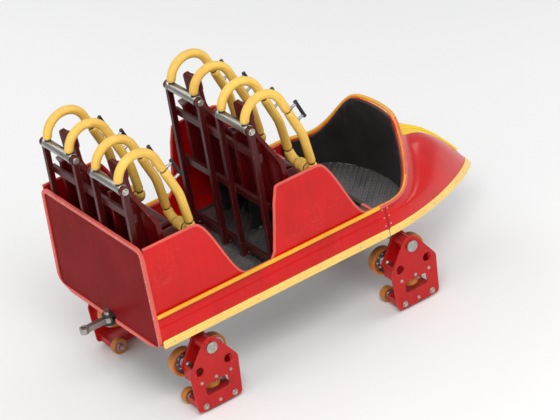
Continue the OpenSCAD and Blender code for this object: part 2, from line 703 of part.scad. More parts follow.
module seat(row, side) {
  back_x = function(z) back_start[0] - (z - back_start[1]) * tan(back_lean) - mould_t + 8;
  foot_top = function(x) cushion_z + flat_start[1] - (flat_start[0] - x) * tan(cushion_tilt) - 10;
  foot_x = [crease_x + 10, seat_len - 100];
  foot_z = floor_z + seat_gap;
  color("maroon") translate([row_x[row], side * seat_pitch / 2, 0]) {
    shell([for (t = seat_rows) [for (u = seat_columns) seat_point(t, -u, bolster_at(t, u) + pad_at(t, u))]],
          [for (t = seat_rows) [for (u = seat_columns) seat_point(t, -u, 0.8 * bolster_at(t, u) - mould_t)]]);
    for (s = [-1, 1]) {
      translate([0, s * rib_y + rib_t / 2, cushion_z]) rotate([90, 0, 0]) linear_extrude(rib_t)
        polygon([[0, 60], [back_x(60), 60], [back_x(540), 540], [0, 540]]);
      translate([0, s * (foot_half - foot_t / 2) + foot_t / 2, 0]) rotate([90, 0, 0]) linear_extrude(foot_t)
        polygon([[foot_x[0], foot_z], [foot_x[1] - 40, foot_z], [foot_x[1], foot_top(foot_x[1])],
                 [foot_x[0], foot_top(foot_x[0])]]);
    }
    translate([0, foot_half, 0]) rotate([90, 0, 0]) linear_extrude(2 * foot_half)
      polygon([[foot_x[1] - 40 - foot_t, foot_z], [foot_x[1] - 40, foot_z], [foot_x[1], foot_top(foot_x[1])],
               [foot_x[1] - foot_t, foot_top(foot_x[1] - foot_t)]]);
  }
}

// Over-shoulder restraint: one bent tube on a hinge hub. Each half rises behind the seat, arches
// over the shoulder, runs down the chest and turns inwards into the belly bar.
arch_turn = 158;
chest_len = 300;
knee_r = 300;
knee_turn = 14;
lap_len = 200;
riser = 30;
corner_r = 75;
hub_r = hinge_pin_d / 2 + 21;
// Quarter or part ring that starts at the origin, heading up, and turns towards +X
module bend(r, turn) {
  translate([r, 0, 0]) rotate([90, 0, 0]) rotate([0, 0, 180 - turn])
    rotate_extrude(angle = turn) translate([r, 0]) circle(d = bar_d);
}
// Moves on from the start of a bend to its end
module after_bend(r, turn) {
  translate([r, 0, 0]) rotate([0, turn, 0]) translate([-r, 0, 0]) children();
}
// Straight run in its padded sleeve, which ends a little way over the bends
module run(l) {
  translate([0, 0, -sleeve_lap]) cylinder(d = sleeve_d, h = l + 2 * sleeve_lap);
}
// Handle in front of the chest, on two stubs
grip_d = 26;
grip_len = 150;
grip_out = 82;
belly_d = 92;
module grip() {
  mid = chest_len * 0.56;
  for (s = [-1, 1]) translate([0, 0, mid + s * (grip_len / 2 - 20)]) rotate([0, -90, 0])
    cylinder(d = grip_d - 6, h = grip_out);
  translate([-grip_out, 0, mid - grip_len / 2]) cylinder(d = grip_d, h = grip_len);
}
module shoulder_tube(side) {
  run(riser);
  translate([0, 0, riser]) {
    bend(arch_r, arch_turn);
    after_bend(arch_r, arch_turn) {
      run(chest_len);
      grip();
      translate([0, 0, chest_len]) {
        bend(knee_r, knee_turn);
        after_bend(knee_r, knee_turn) {
          run(lap_len);
          translate([0, 0, lap_len]) rotate([0, 0, -90 * side]) {
            bend(corner_r, 90);
            if (side > 0) after_bend(corner_r, 90) {
              run(bar_spacing - 2 * corner_r);
              translate([0, 0, 12]) cylinder(d = belly_d, h = bar_spacing - 2 * corner_r - 24);
            }
          }
        }
      }
    }
  }
}
module restraint(row, side) {
  color("gold") translate([row_x[row] + pivot_x, side * seat_pitch / 2, pivot_z]) difference() {
    union() {
      rotate([90, 0, 0]) cylinder(r = hub_r, h = hub_len, center = true);
      for (s = [-1, 1]) translate([0, s * bar_spacing / 2, 0]) shoulder_tube(s);
    }
    rotate([90, 0, 0]) cylinder(d = hinge_pin_d + 2 * run_fit, h = hub_len + 2, center = true);
  }
}

chassis_beam(1);  // chassis_beam_left
chassis_beam(-1);  // chassis_beam_right
cross_members();
tow_arm();
coupling_clevis();
dog_bracket();
seat_frame_front();
seat_frame_rear();
floor_pan();
foot_well();
nose_shell();
nose_ridge();
side_left();
side_right();
rear_panel();
rim_coaming();
sill_band();
axle_front();
axle_rear();
drawbar();
chain_dog();
grab_bar();
seat(1, 1);  // seat_front_left
seat(1, -1);  // seat_front_right
seat(0, 1);  // seat_rear_left
seat(0, -1);  // seat_rear_right
restraint(1, 1);  // restraint_front_left
restraint(1, -1);  // restraint_front_right
restraint(0, 1);  // restraint_rear_left
restraint(0, -1);  // restraint_rear_right
carrier(front_axle_x, 1);  // carrier_front_left
carrier(front_axle_x, -1);  // carrier_front_right
carrier(rear_axle_x, 1);  // carrier_rear_left
carrier(rear_axle_x, -1);  // carrier_rear_right
run_wheel(front_axle_x, 1, 1);  // run_wheel_front_left_a
run_wheel(front_axle_x, 1, -1);  // run_wheel_front_left_b
run_wheel(front_axle_x, -1, 1);  // run_wheel_front_right_a
run_wheel(front_axle_x, -1, -1);  // run_wheel_front_right_b
run_wheel(rear_axle_x, 1, 1);  // run_wheel_rear_left_a
run_wheel(rear_axle_x, 1, -1);  // run_wheel_rear_left_b
run_wheel(rear_axle_x, -1, 1);  // run_wheel_rear_right_a
run_wheel(rear_axle_x, -1, -1);  // run_wheel_rear_right_b
upstop(front_axle_x, 1, 1);  // upstop_front_left_a
upstop(front_axle_x, 1, -1);  // upstop_front_left_b
upstop(front_axle_x, -1, 1);  // upstop_front_right_a
upstop(front_axle_x, -1, -1);  // upstop_front_right_b
upstop(rear_axle_x, 1, 1);  // upstop_rear_left_a
upstop(rear_axle_x, 1, -1);  // upstop_rear_left_b
upstop(rear_axle_x, -1, 1);  // upstop_rear_right_a
upstop(rear_axle_x, -1, -1);  // upstop_rear_right_b
guide(front_axle_x, 1);  // guide_front_left
guide(front_axle_x, -1);  // guide_front_right
guide(rear_axle_x, 1);  // guide_rear_left
guide(rear_axle_x, -1);  // guide_rear_right
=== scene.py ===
"""Dresses a roller coaster car: finishes for the frame, and padding, wheels and fittings on its bodies."""

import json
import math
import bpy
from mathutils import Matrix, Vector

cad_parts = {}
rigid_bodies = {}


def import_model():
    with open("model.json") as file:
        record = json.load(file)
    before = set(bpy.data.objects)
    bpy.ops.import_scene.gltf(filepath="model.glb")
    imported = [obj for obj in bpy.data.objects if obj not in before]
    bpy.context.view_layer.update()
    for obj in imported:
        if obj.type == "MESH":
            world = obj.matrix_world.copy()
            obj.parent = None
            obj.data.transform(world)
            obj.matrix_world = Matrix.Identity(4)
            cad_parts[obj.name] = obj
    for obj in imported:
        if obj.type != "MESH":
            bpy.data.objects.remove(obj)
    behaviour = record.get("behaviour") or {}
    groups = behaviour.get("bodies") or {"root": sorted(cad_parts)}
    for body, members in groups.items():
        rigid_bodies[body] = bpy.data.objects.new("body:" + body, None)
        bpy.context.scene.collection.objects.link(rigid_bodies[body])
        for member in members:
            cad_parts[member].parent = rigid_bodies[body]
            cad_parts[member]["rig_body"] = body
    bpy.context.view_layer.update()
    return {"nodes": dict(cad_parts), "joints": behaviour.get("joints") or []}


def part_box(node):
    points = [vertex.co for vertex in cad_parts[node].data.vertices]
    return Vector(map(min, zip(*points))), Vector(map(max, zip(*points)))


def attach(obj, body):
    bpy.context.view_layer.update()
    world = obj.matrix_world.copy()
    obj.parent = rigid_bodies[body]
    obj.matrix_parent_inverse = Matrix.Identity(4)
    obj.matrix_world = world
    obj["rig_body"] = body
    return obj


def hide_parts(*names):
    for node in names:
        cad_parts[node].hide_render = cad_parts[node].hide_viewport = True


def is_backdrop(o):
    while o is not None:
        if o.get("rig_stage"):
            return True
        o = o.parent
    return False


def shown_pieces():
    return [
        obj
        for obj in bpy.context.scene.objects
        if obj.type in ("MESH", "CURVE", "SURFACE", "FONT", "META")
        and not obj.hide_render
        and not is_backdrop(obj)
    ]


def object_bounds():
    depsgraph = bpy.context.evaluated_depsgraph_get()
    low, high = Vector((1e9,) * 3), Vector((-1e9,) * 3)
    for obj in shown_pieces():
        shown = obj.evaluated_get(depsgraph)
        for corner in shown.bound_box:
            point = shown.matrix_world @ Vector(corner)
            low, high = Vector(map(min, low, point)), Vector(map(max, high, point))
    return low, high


bl_info = {
    "name": "Coaster Car Dressing",
    "version": (1, 0, 0),
    "blender": (4, 5, 0),
    "location": "View3D > Sidebar > Coaster Car",
    "description": "Finishes, seats, padding, wheels and fittings for a roller coaster car",
    "category": "Add Mesh",
}

import bmesh
import bpy
from bpy.props import FloatProperty, FloatVectorProperty, PointerProperty
from mathutils import Matrix, Vector
from mathutils.bvhtree import BVHTree
from mathutils.kdtree import KDTree

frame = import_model()
NODES = frame["nodes"]
JOINT_PLACES = {joint["name"]: Vector(joint["pos_m"]) for joint in frame["joints"]}
ROOT = "car_body"
X_AXIS = Vector((1, 0, 0))
Y_AXIS = Vector((0, 1, 0))
Z_AXIS = Vector((0, 0, 1))
SIDES = {"left": 1, "right": -1}
ROWS = ("front", "rear")
CORNERS = [(row, side) for row in ROWS for side in SIDES]
WELD = 1e-5


def shade(red, green, blue):
    """Scene colour of a paint given as it looks on a screen, 0 to 255."""
    return tuple((channel / 255) ** 2.2 for channel in (red, green, blue))


def colour_property(name, description, *screen):
    """A colour that the user can change, given as it looks on a screen."""
    return FloatVectorProperty(
        name=name, description=description, subtype="COLOR", size=3, min=0, max=1, default=shade(*screen)
    )


def length_property(name, description, metres):
    """A length that the user can change."""
    return FloatProperty(name=name, description=description, default=metres, min=0, unit="LENGTH")


# Sizes and colours a user would change


class CoasterCarSizes(bpy.types.PropertyGroup):
    """Sizes of the pieces that are added to the frame"""

    shell_edge: length_property("Shell edge", "Rounding of the moulded shells' edges", 0.003)
    frame_edge: length_property("Frame edge", "Rounding of the steel pieces' edges", 0.0018)
    bar_radius: length_property("Bar radius", "Radius of the bent steel tube in a restraint", 0.0225)
    padding_radius: length_property("Padding radius", "Radius of the foam on the restraint's arches", 0.031)
    belly_radius: length_property("Belly pad radius", "Radius of the foam on the belly bar", 0.034)
    screw_size: length_property("Screw size", "Width across the head of a trim screw", 0.011)
    screw_pitch: length_property("Screw pitch", "Distance between trim screws", 0.16)


class CoasterCarColours(bpy.types.PropertyGroup):
    """Colours of the car"""

    body_red: colour_property("Body red", "Nose and side shells", 205, 10, 14)
    # Panel red: a darker copy of the body's red, a painted shade on the rear face
    panel_shaded_red: colour_property("Panel red", "Rear panel", 126, 6, 18)
    # Edging salmon: a painted highlight, the light that glossy red edges catch
    highlight_salmon: colour_property("Edging salmon", "Edges of the wings and rear panel", 218, 92, 80)
    ridge_yellow: colour_property("Ridge yellow", "Ridge on the nose", 252, 208, 12)
    rim_orange: colour_property("Rim orange", "Coaming on the rim", 240, 172, 48)
    band_cream: colour_property("Band cream", "Band on the lower edge", 252, 208, 112)
    seat_maroon: colour_property("Seat maroon", "Moulded seats and their pads", 88, 9, 14)
    frame_maroon: colour_property("Frame maroon", "Steel frames behind the seats", 74, 10, 14)
    padding_yellow: colour_property("Padding yellow", "Foam on the restraints", 255, 196, 88)
    carrier_red: colour_property("Carrier red", "Wheel carriers", 188, 16, 18)
    tread_amber: colour_property("Tread amber", "Tread of the wheels", 196, 112, 26)


# Shader nodes


def add(tree, kind, feeds=None, **settings):
    """Adds a shader node. Feeds are values or other nodes' sockets, by the input's name or number."""
    made = tree.nodes.new("ShaderNode" + kind)
    for name, value in settings.items():
        setattr(made, name, value)
    for socket, value in (feeds or {}).items():
        if isinstance(value, bpy.types.NodeSocket):
            tree.links.new(value, made.inputs[socket])
        else:
            made.inputs[socket].default_value = value
    return made


def maths(tree, operation, first, second=0.0, clamp=False):
    """Result of one step of arithmetic."""
    return add(tree, "Math", {0: first, 1: second}, operation=operation, use_clamp=clamp).outputs[0]


def spread(tree, value, low, high, new_low=0.0, new_high=1.0):
    """Value taken from one range to another, and held inside it."""
    feeds = {"Value": value, "From Min": low, "From Max": high, "To Min": new_low, "To Max": new_high}
    return add(tree, "MapRange", feeds).outputs[0]


def opaque(colour):
    """Colour as a socket takes it."""
    return (*colour, 1)


def mixed(tree, share, first, second):
    """Mix of two colours."""
    return add(tree, "Mix", {0: share, 6: first, 7: second}, data_type="RGBA").outputs[2]


def own_place(tree):
    """The object's own coordinates."""
    return add(tree, "TexCoord").outputs["Object"]


def parts(tree, vector):
    """The three numbers of a vector."""
    return add(tree, "SeparateXYZ", {0: vector}).outputs


def noise(tree, scale, detail=3.0, rough=0.5, stretch=None):
    """Value of a noise. A stretch draws it out along the axes where it is smaller."""
    place = own_place(tree)
    if stretch:
        place = add(tree, "Mapping", {"Vector": place, "Scale": stretch}).outputs[0]
    feeds = {"Vector": place, "Scale": scale, "Detail": detail, "Roughness": rough}
    return add(tree, "TexNoise", feeds).outputs[0]


# Effects that several finishes use, each a node group with one output


def effect(name, inputs, output):
    """Tree of an empty node group, its named inputs and its output's socket."""
    tree = bpy.data.node_groups.new(name, "ShaderNodeTree")
    for label, default in inputs.items():
        socket = tree.interface.new_socket(name=label, in_out="INPUT", socket_type="NodeSocketFloat")
        socket.default_value = default
    tree.interface.new_socket(name=output, in_out="OUTPUT", socket_type="NodeSocketFloat")
    given = tree.nodes.new("NodeGroupInput").outputs
    return tree, given, tree.nodes.new("NodeGroupOutput").inputs[output]


def edge_wear_effect():
    """Mask of the worn outer edges, broken up by noise."""
    tree, given, put = effect("edge_wear", {"Width": 0.004, "Amount": 0.5, "Scale": 40.0}, "Mask")
    rounded = add(tree, "Bevel", {"Radius": given["Width"]}, samples=4).outputs["Normal"]
    true = add(tree, "NewGeometry").outputs["Normal"]
    same = add(tree, "VectorMath", {0: rounded, 1: true}, operation="DOT_PRODUCT").outputs["Value"]
    turned = spread(tree, same, 0.995, 0.80)
    patches = spread(tree, noise(tree, given["Scale"], 5.0, 0.65), 0.42, 0.62)
    worn = maths(tree, "MULTIPLY", turned, patches)
    tree.links.new(maths(tree, "MULTIPLY", worn, given["Amount"], clamp=True), put)


def dust_effect():
    """Mask of the dust that lies on what faces up, and a thin film elsewhere."""
    tree, given, put = effect("dust", {"Amount": 0.3, "Scale": 7.0}, "Mask")
    upward = parts(tree, add(tree, "TexCoord").outputs["Normal"])["Z"]
    lying = spread(tree, upward, 0.2, 1.0, 0.12, 1.0)
    patches = spread(tree, noise(tree, given["Scale"], 6.0, 0.6), 0.35, 0.75)
    mask = maths(tree, "MULTIPLY", lying, patches)
    tree.links.new(maths(tree, "MULTIPLY", mask, given["Amount"], clamp=True), put)


def stains_effect():
    """Slow changes of tone, with faint runs down the sides."""
    tree, given, put = effect("stains", {"Scale": 3.0}, "Tone")
    broad = maths(tree, "MULTIPLY", noise(tree, given["Scale"], 4.0, 0.55), 0.65)
    runs = maths(tree, "MULTIPLY", noise(tree, given["Scale"], 3.0, 0.6, (9, 9, 0.8)), 0.35)
    tree.links.new(spread(tree, maths(tree, "ADD", broad, runs), 0.3, 0.7), put)


def scratches_effect():
    """Mask of fine scratches in two directions."""
    tree, given, put = effect("scratches", {"Scale": 60.0}, "Mask")
    thin = []
    for stretch in ((0.12, 1.0, 1.4), (1.2, 0.5, 0.1)):
        off = maths(tree, "SUBTRACT", noise(tree, given["Scale"], 2.0, 0.5, stretch), 0.5)
        thin.append(spread(tree, maths(tree, "ABSOLUTE", off), 0.008, 0.0))
    patches = spread(tree, noise(tree, 4.0), 0.5, 0.65)
    tree.links.new(maths(tree, "MULTIPLY", maths(tree, "MAXIMUM", *thin), patches, clamp=True), put)


def leather_effect():
    """Height of a grained skin: small cells with creases between them."""
    tree, given, put = effect("leather", {"Scale": 420.0}, "Height")
    feeds = {"Vector": own_place(tree), "Scale": given["Scale"]}
    cells = add(tree, "TexVoronoi", feeds, feature="DISTANCE_TO_EDGE").outputs["Distance"]
    fine = noise(tree, maths(tree, "MULTIPLY", given["Scale"], 1.7), 3.0, 0.6)
    creases = spread(tree, cells, 0.0, 0.22)
    tree.links.new(maths(tree, "ADD", creases, maths(tree, "MULTIPLY", fine, 0.3)), put)


def grain_effect(name, *look):
    """Height of a fine noise with its own detail, roughness and stretch."""
    tree, given, put = effect(name, {"Scale": 160.0}, "Height")
    tree.links.new(noise(tree, given["Scale"], *look), put)


def make_effects():
    """Makes every effect: the last three are orange peel, machining lines and a rough casting."""
    edge_wear_effect()
    dust_effect()
    stains_effect()
    scratches_effect()
    leather_effect()
    grain_effect("peel", 1.0, 0.4)
    grain_effect("brushed", 3.0, 0.7, (0.06, 1.0, 1.0))
    grain_effect("cast", 5.0, 0.75)


def use(tree, name, **values):
    """Output of an effect placed in a material with its own values."""
    return add(tree, "Group", values, node_tree=bpy.data.node_groups[name]).outputs[0]


# Finishes

DUST = shade(150, 138, 120)
BARE_STEEL = shade(150, 148, 145)
PRIMER = shade(120, 112, 104)
PALE_FIBRE = shade(214, 160, 140)
COAT_ROUGHNESS = 0.06
WEAR_WIDTH = 0.004

# Half width of the painted stripe where it leaves the cowl
STRIPE_HALF = 0.155


def new_material(name, constants):
    """A material, its node tree and its shader, whose plain values are given."""
    material = bpy.data.materials.new(name)
    material.use_nodes = True
    shader = material.node_tree.nodes["Principled BSDF"]
    for socket, value in constants.items():
        shader.inputs[socket].default_value = value
    return material, material.node_tree, shader


def finish(
    name, colour, rough, metallic=0.0, coat=0.0, gloss=0.5, grain="peel", grain_scale=160.0,
    grain_depth=0.0002, wear=0.4, under=PRIMER, dust=0.25, tone=0.12, scratch=0.5, stripe=None,
):
    """A material with changes of tone, dust, worn edges, scratches and a grain.

    A stripe is a mask and its colour.
    """
    constants = {"Metallic": metallic, "Specular IOR Level": gloss, "Coat Weight": coat}
    material, tree, shader = new_material(name, {**constants, "Coat Roughness": COAT_ROUGHNESS})
    tones = use(tree, "stains", Scale=3.0)
    film = use(tree, "dust", Amount=dust, Scale=7.0)
    worn = use(tree, "edge_wear", Width=WEAR_WIDTH, Amount=wear, Scale=45.0)
    lines = maths(tree, "MULTIPLY", use(tree, "scratches", Scale=60.0), scratch)
    dark = opaque(channel * (1 - tone * 1.6) for channel in colour)
    light = opaque(min(1.0, channel * (1 + tone)) for channel in colour)
    base = mixed(tree, tones, dark, light)
    if stripe:
        base = mixed(tree, stripe[0](tree), base, opaque(stripe[1]))
    base = mixed(tree, maths(tree, "MULTIPLY", lines, 0.25), base, opaque(under))
    base = mixed(tree, worn, base, opaque(under))
    tree.links.new(mixed(tree, film, base, opaque(DUST)), shader.inputs["Base Color"])
    duller = maths(tree, "ADD", maths(tree, "MULTIPLY", film, 0.45), maths(tree, "MULTIPLY", lines, 0.2))
    duller = maths(tree, "ADD", duller, spread(tree, tones, 0.0, 1.0, rough + 0.05, rough - 0.03))
    duller = maths(tree, "ADD", duller, maths(tree, "MULTIPLY", worn, 0.15), clamp=True)
    tree.links.new(duller, shader.inputs["Roughness"])
    height = use(tree, grain, Scale=grain_scale)
    height = maths(tree, "SUBTRACT", height, maths(tree, "MULTIPLY", lines, 0.5))
    bump = add(tree, "Bump", {"Height": height, "Strength": 0.6, "Distance": grain_depth})
    tree.links.new(bump.outputs["Normal"], shader.inputs["Normal"])
    return material


def nose_stripe(tree):
    """Mask of the painted stripe on the nose: wide at the cowl, pointed at the end of the ridge."""
    start, end = (corner.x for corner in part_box("nose_ridge"))
    place = parts(tree, own_place(tree))
    ahead = parts(tree, add(tree, "TexCoord").outputs["Normal"])["X"]
    edge = spread(tree, place["X"], start, end, STRIPE_HALF, 0.0)
    inside = maths(tree, "SUBTRACT", edge, maths(tree, "ABSOLUTE", place["Y"]))
    outside = maths(tree, "GREATER_THAN", ahead, 0.08)
    return maths(tree, "MULTIPLY", spread(tree, inside, -0.0008, 0.0008), outside)


def gelcoat(name, colour, **changes):
    """Glossy moulded plastic shell."""
    settings = {"rough": 0.22, "coat": 0.22, "gloss": 0.2, "wear": 0.2, "under": PALE_FIBRE}
    return finish(name, colour, **{**settings, "grain_depth": 0.0003, "dust": 0.09, **changes})


def frame_paint(name, colour, **changes):
    """Sprayed paint on steel, chipped at its edges."""
    settings = {"rough": 0.38, "coat": 0.08, "gloss": 0.3, "wear": 0.75, "under": BARE_STEEL, "dust": 0.2}
    return finish(name, colour, **{**settings, **changes})


def bare_metal(name, colour, **changes):
    """Machined metal with a film of oil and dirt."""
    settings = {"rough": 0.3, "metallic": 1.0, "grain": "brushed", "grain_scale": 300.0, "tone": 0.2}
    return finish(name, colour, **{"wear": 0.2, "dust": 0.2, "under": BARE_STEEL, **settings, **changes})


def grained_skin(name, colour, **changes):
    """Vinyl or integral foam skin."""
    settings = {"rough": 0.5, "grain": "leather", "grain_scale": 420.0, "grain_depth": 0.0006, "tone": 0.16}
    return finish(name, colour, **{"wear": 0.1, "dust": 0.22, "scratch": 0.15, **settings, **changes})


def tread_plate():
    """Aluminium plate with raised bars in two directions."""
    material = bare_metal("tread_plate", shade(150, 150, 152), rough=0.42, dust=0.5)
    tree = material.node_tree
    bars = []
    for turn in (45, -45):
        feeds = {"Vector": own_place(tree), "Rotation": (0, 0, math.radians(turn))}
        cut = parts(tree, add(tree, "Mapping", feeds).outputs[0])
        along = spread(tree, maths(tree, "PINGPONG", cut["X"], 0.02), 0.004, 0.006)
        across = spread(tree, maths(tree, "PINGPONG", cut["Y"], 0.01), 0.0065, 0.008)
        bars.append(maths(tree, "MULTIPLY", along, across))
    grain = tree.nodes["Bump"].outputs["Normal"]
    feeds = {"Height": maths(tree, "MAXIMUM", *bars), "Strength": 1.0, "Distance": 0.002, "Normal": grain}
    raised = add(tree, "Bump", feeds).outputs["Normal"]
    tree.links.new(raised, tree.nodes["Principled BSDF"].inputs["Normal"])
    return material


def make_finishes(paint):
    """Every material of the car, by the record's slot or by its own name."""
    stripe = (nose_stripe, paint.ridge_yellow)
    vinyl = [channel * 1.25 for channel in paint.seat_maroon]
    rough_skin = {"grain": "cast", "grain_depth": 0.0003, "dust": 0.4}
    foam = {"grain_scale": 560.0, "grain_depth": 0.0004, "dust": 0.15}
    liner = {"grain": "cast", "grain_depth": 0.0006, "dust": 0.35, "wear": 0.1}
    casting = {"grain": "cast", "grain_scale": 320.0, "dust": 0.3}
    return {
        "red_gelcoat": gelcoat("body_gelcoat", paint.body_red),
        "nose_gelcoat": gelcoat("nose_gelcoat", paint.body_red, stripe=stripe),
        # Rear panel's darker red: a painted shade on the rear face
        "dark_red_gelcoat": gelcoat("panel_shaded_gelcoat", paint.panel_shaded_red, rough=0.45, coat=0.02, gloss=0.04),
        "yellow_gelcoat": gelcoat("ridge_gelcoat", paint.ridge_yellow, tone=0.06),
        "orange_trim": gelcoat("coaming_trim", paint.rim_orange, rough=0.34, coat=0.2),
        "pale_trim": gelcoat("band_trim", paint.band_cream, rough=0.32, coat=0.2, tone=0.08),
        "black_liner": finish("liner_plastic", shade(22, 21, 22), 0.62, **liner),
        "maroon_seat": gelcoat("seat_moulding", paint.seat_maroon, rough=0.36, coat=0.1, dust=0.1),
        "seat_vinyl": grained_skin("seat_vinyl", vinyl, rough=0.46, dust=0.1),
        "yellow_padding": grained_skin("restraint_foam", paint.padding_yellow, **foam),
        "red_frame": frame_paint("carrier_paint", paint.carrier_red),
        "red_tube": frame_paint("grab_bar_coat", shade(206, 96, 88), wear=0.5),
        # Salmon finish of the edging: a painted highlight of glossy red edges
        "salmon_highlight_edging": gelcoat("edging", paint.highlight_salmon, rough=0.36, coat=0.2),
        "chassis_steel": frame_paint("chassis_paint", shade(44, 44, 48), rough=0.45),
        "seat_frame_paint": frame_paint("seat_frame_paint", paint.frame_maroon, rough=0.42, dust=0.12),
        "floor_plate": tread_plate(),
        "machined_steel": bare_metal("machined_steel", shade(168, 166, 162)),
        "zinc_bolt": bare_metal("zinc_bolt", shade(196, 192, 182), rough=0.34),
        "cast_hub": bare_metal("cast_hub", shade(182, 183, 186), rough=0.4, **casting),
        "wheel_tread": grained_skin("wheel_polyurethane", paint.tread_amber, rough=0.36, **rough_skin),
        "black_rubber": grained_skin("black_rubber", shade(26, 25, 26), rough=0.6, grain="cast"),
    }


FINISH = {}


# Making meshes

# Degrees of a bent bar between two of its points
BEND_STEP = 6.0


def mesh_of(name, bm):
    """Mesh of a finished form."""
    mesh = bpy.data.meshes.new(name)
    bm.to_mesh(mesh)
    bm.free()
    return mesh


def placed(name, data):
    """Object of a mesh, curve, lamp or camera, linked to the scene."""
    made = bpy.data.objects.new(name, data)
    bpy.context.scene.collection.objects.link(made)
    return made


def evaluated_mesh(made):
    """Mesh of an object with its modifiers applied."""
    bpy.context.view_layer.update()
    return bpy.data.meshes.new_from_object(made.evaluated_get(bpy.context.evaluated_depsgraph_get()))


def piece(name, bm, body, slot, materials=None, replaces=(), sharp=38.0):
    """Object of a finished form that rides on a body of the frame."""
    mesh = mesh_of(name, bm)
    for key in materials or [slot]:
        mesh.materials.append(FINISH[key])
    mesh.polygons.foreach_set("use_smooth", [True] * len(mesh.polygons))
    mesh.set_sharp_from_angle(angle=math.radians(sharp))
    made = placed(name, mesh)
    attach(made, body)
    if replaces:
        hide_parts(*replaces)
    return made


def subdivide(made, levels):
    """Smooths a piece with the same subdivision in view and in render."""
    smooth = made.modifiers.new("smooth", "SUBSURF")
    smooth.levels = smooth.render_levels = levels


def merged_copy(node):
    """Form of a frame node with its loose triangles welded."""
    bm = bmesh.new()
    bm.from_mesh(NODES[node].data)
    bmesh.ops.remove_doubles(bm, verts=bm.verts, dist=WELD)
    return bm


def hard_edges(bm, degrees):
    """Edges whose two faces meet at more than an angle."""
    limit = math.radians(degrees)
    return [e for e in bm.edges if len(e.link_faces) == 2 and e.calc_face_angle(0.0) > limit]


def bevel(bm, edges, offset, segments=2):
    """Rounds some edges of a form."""
    bmesh.ops.bevel(
        bm,
        geom=edges,
        offset=offset,
        segments=segments,
        profile=0.5,
        affect="EDGES",
        clamp_overlap=True,
        material=-1,
    )


def rounded_node(node, edge, slot, key=None):
    """Copy of a frame node with its flat faces whole again, its edges rounded, and a finish of its own."""
    bm = merged_copy(node)
    bmesh.ops.dissolve_limit(bm, angle_limit=math.radians(0.5), verts=bm.verts, edges=bm.edges)
    bmesh.ops.connect_verts_concave(bm, faces=bm.faces)
    bevel(bm, hard_edges(bm, 32), edge)
    made = piece(node + "_finished", bm, NODES[node]["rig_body"], slot, [key or slot], [node])
    even = made.modifiers.new("flat_faces", "WEIGHTED_NORMAL")
    even.keep_sharp = True
    even.weight = 100
    return made


def smoothed_node(node, slot, levels=2, crease_over=40, key=None):
    """Copy of a faceted shell as quads, subdivided, with its real edges kept."""
    bm = merged_copy(node)
    bmesh.ops.join_triangles(
        bm, faces=bm.faces, angle_face_threshold=math.radians(25), angle_shape_threshold=math.radians(60)
    )
    layer = bm.edges.layers.float.new("crease_edge")
    for edge in hard_edges(bm, crease_over):
        edge[layer] = 0.85
    made = piece(node + "_moulding", bm, NODES[node]["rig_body"], slot, [key or slot], [node], 60.0)
    subdivide(made, levels)
    return made


def pour_mesh(bm, mesh, index):
    """Adds a mesh, all in one material, and removes it."""
    mesh.polygons.foreach_set("material_index", [index] * len(mesh.polygons))
    bm.from_mesh(mesh)
    bpy.data.meshes.remove(mesh)


def add_cone(bm, place, low, high, depth, sides, index=0):
    """Adds a short cone or cylinder that stands on a place, along its Z."""
    form = bmesh.new()
    middle = place @ Matrix.Translation((0, 0, depth / 2))
    bmesh.ops.create_cone(
        form, cap_ends=True, segments=sides, radius1=low, radius2=high, depth=depth, matrix=middle
    )
    pour_mesh(bm, mesh_of("form", form), index)


def facing(place, direction):
    """Matrix at a place whose Z looks along a direction."""
    turn = Vector(direction).to_track_quat("Z", "Y").to_matrix().to_4x4()
    return Matrix.Translation(place) @ turn


def level(degrees):
    """Level unit vector, turned from forward to the left."""
    turn = math.radians(degrees)
    return Vector((math.cos(turn), math.sin(turn), 0))


# Heads of fasteners, as cones on each other: low radius, high radius and height by size, and sides
BOLT = ((0.72, 0.72, 0.1, 20), (0.57, 0.52, 0.38, 6))
SCREW = ((0.5, 0.42, 0.12, 14), (0.42, 0.2, 0.1, 14))


def add_head(bm, place, direction, size, index=0, cones=BOLT):
    """Adds the head of a bolt or screw that looks along a direction."""
    seat = facing(place, direction)
    for low, high, depth, sides in cones:
        add_cone(bm, seat, size * low, size * high, size * depth, sides, index)
        seat = seat @ Matrix.Translation((0, 0, size * depth))


def surface_of(node):
    """Search tree over a frame node's surface, to find where a fitting sits on it."""
    bm = merged_copy(node)
    tree = BVHTree.FromBMesh(bm)
    bm.free()
    return tree


def fasten(bm, tree, start, direction, size, cones=SCREW):
    """Adds a head where a ray meets a surface, if it does."""
    place, normal, _, _ = tree.ray_cast(Vector(start), direction)
    if place is not None:
        add_head(bm, place, normal, size, 0, cones)


def travelled(start, ahead, moves):
    """Points along straight runs and bends. A run is its length; a bend is (radius, degrees, axis)."""
    place = start
    points = [place]
    for move in moves:
        if isinstance(move, float):
            place = place + ahead * move
            points.append(place)
            continue
        radius, degrees, axis = move
        steps = max(2, round(abs(degrees) / BEND_STEP))
        turn, half = (Matrix.Rotation(math.radians(degrees / steps / n), 3, axis) for n in (1, 2))
        chord = 2 * radius * math.sin(math.radians(abs(degrees) / steps / 2))
        for _ in range(steps):
            place = place + (half @ ahead) * chord
            ahead = turn @ ahead
            points.append(place)
    return points


def resampled(points, spacing):
    """The same line with points an even distance apart."""
    lengths = [0.0]
    for first, second in zip(points, points[1:]):
        lengths.append(lengths[-1] + (second - first).length)
    count = max(2, round(lengths[-1] / spacing))
    found = []
    leg = 0
    for number in range(count + 1):
        target = lengths[-1] * number / count
        while leg < len(points) - 2 and lengths[leg + 1] < target:
            leg += 1
        span = max(1e-9, lengths[leg + 1] - lengths[leg])
        found.append(points[leg].lerp(points[leg + 1], min(1.0, (target - lengths[leg]) / span)))
    return found


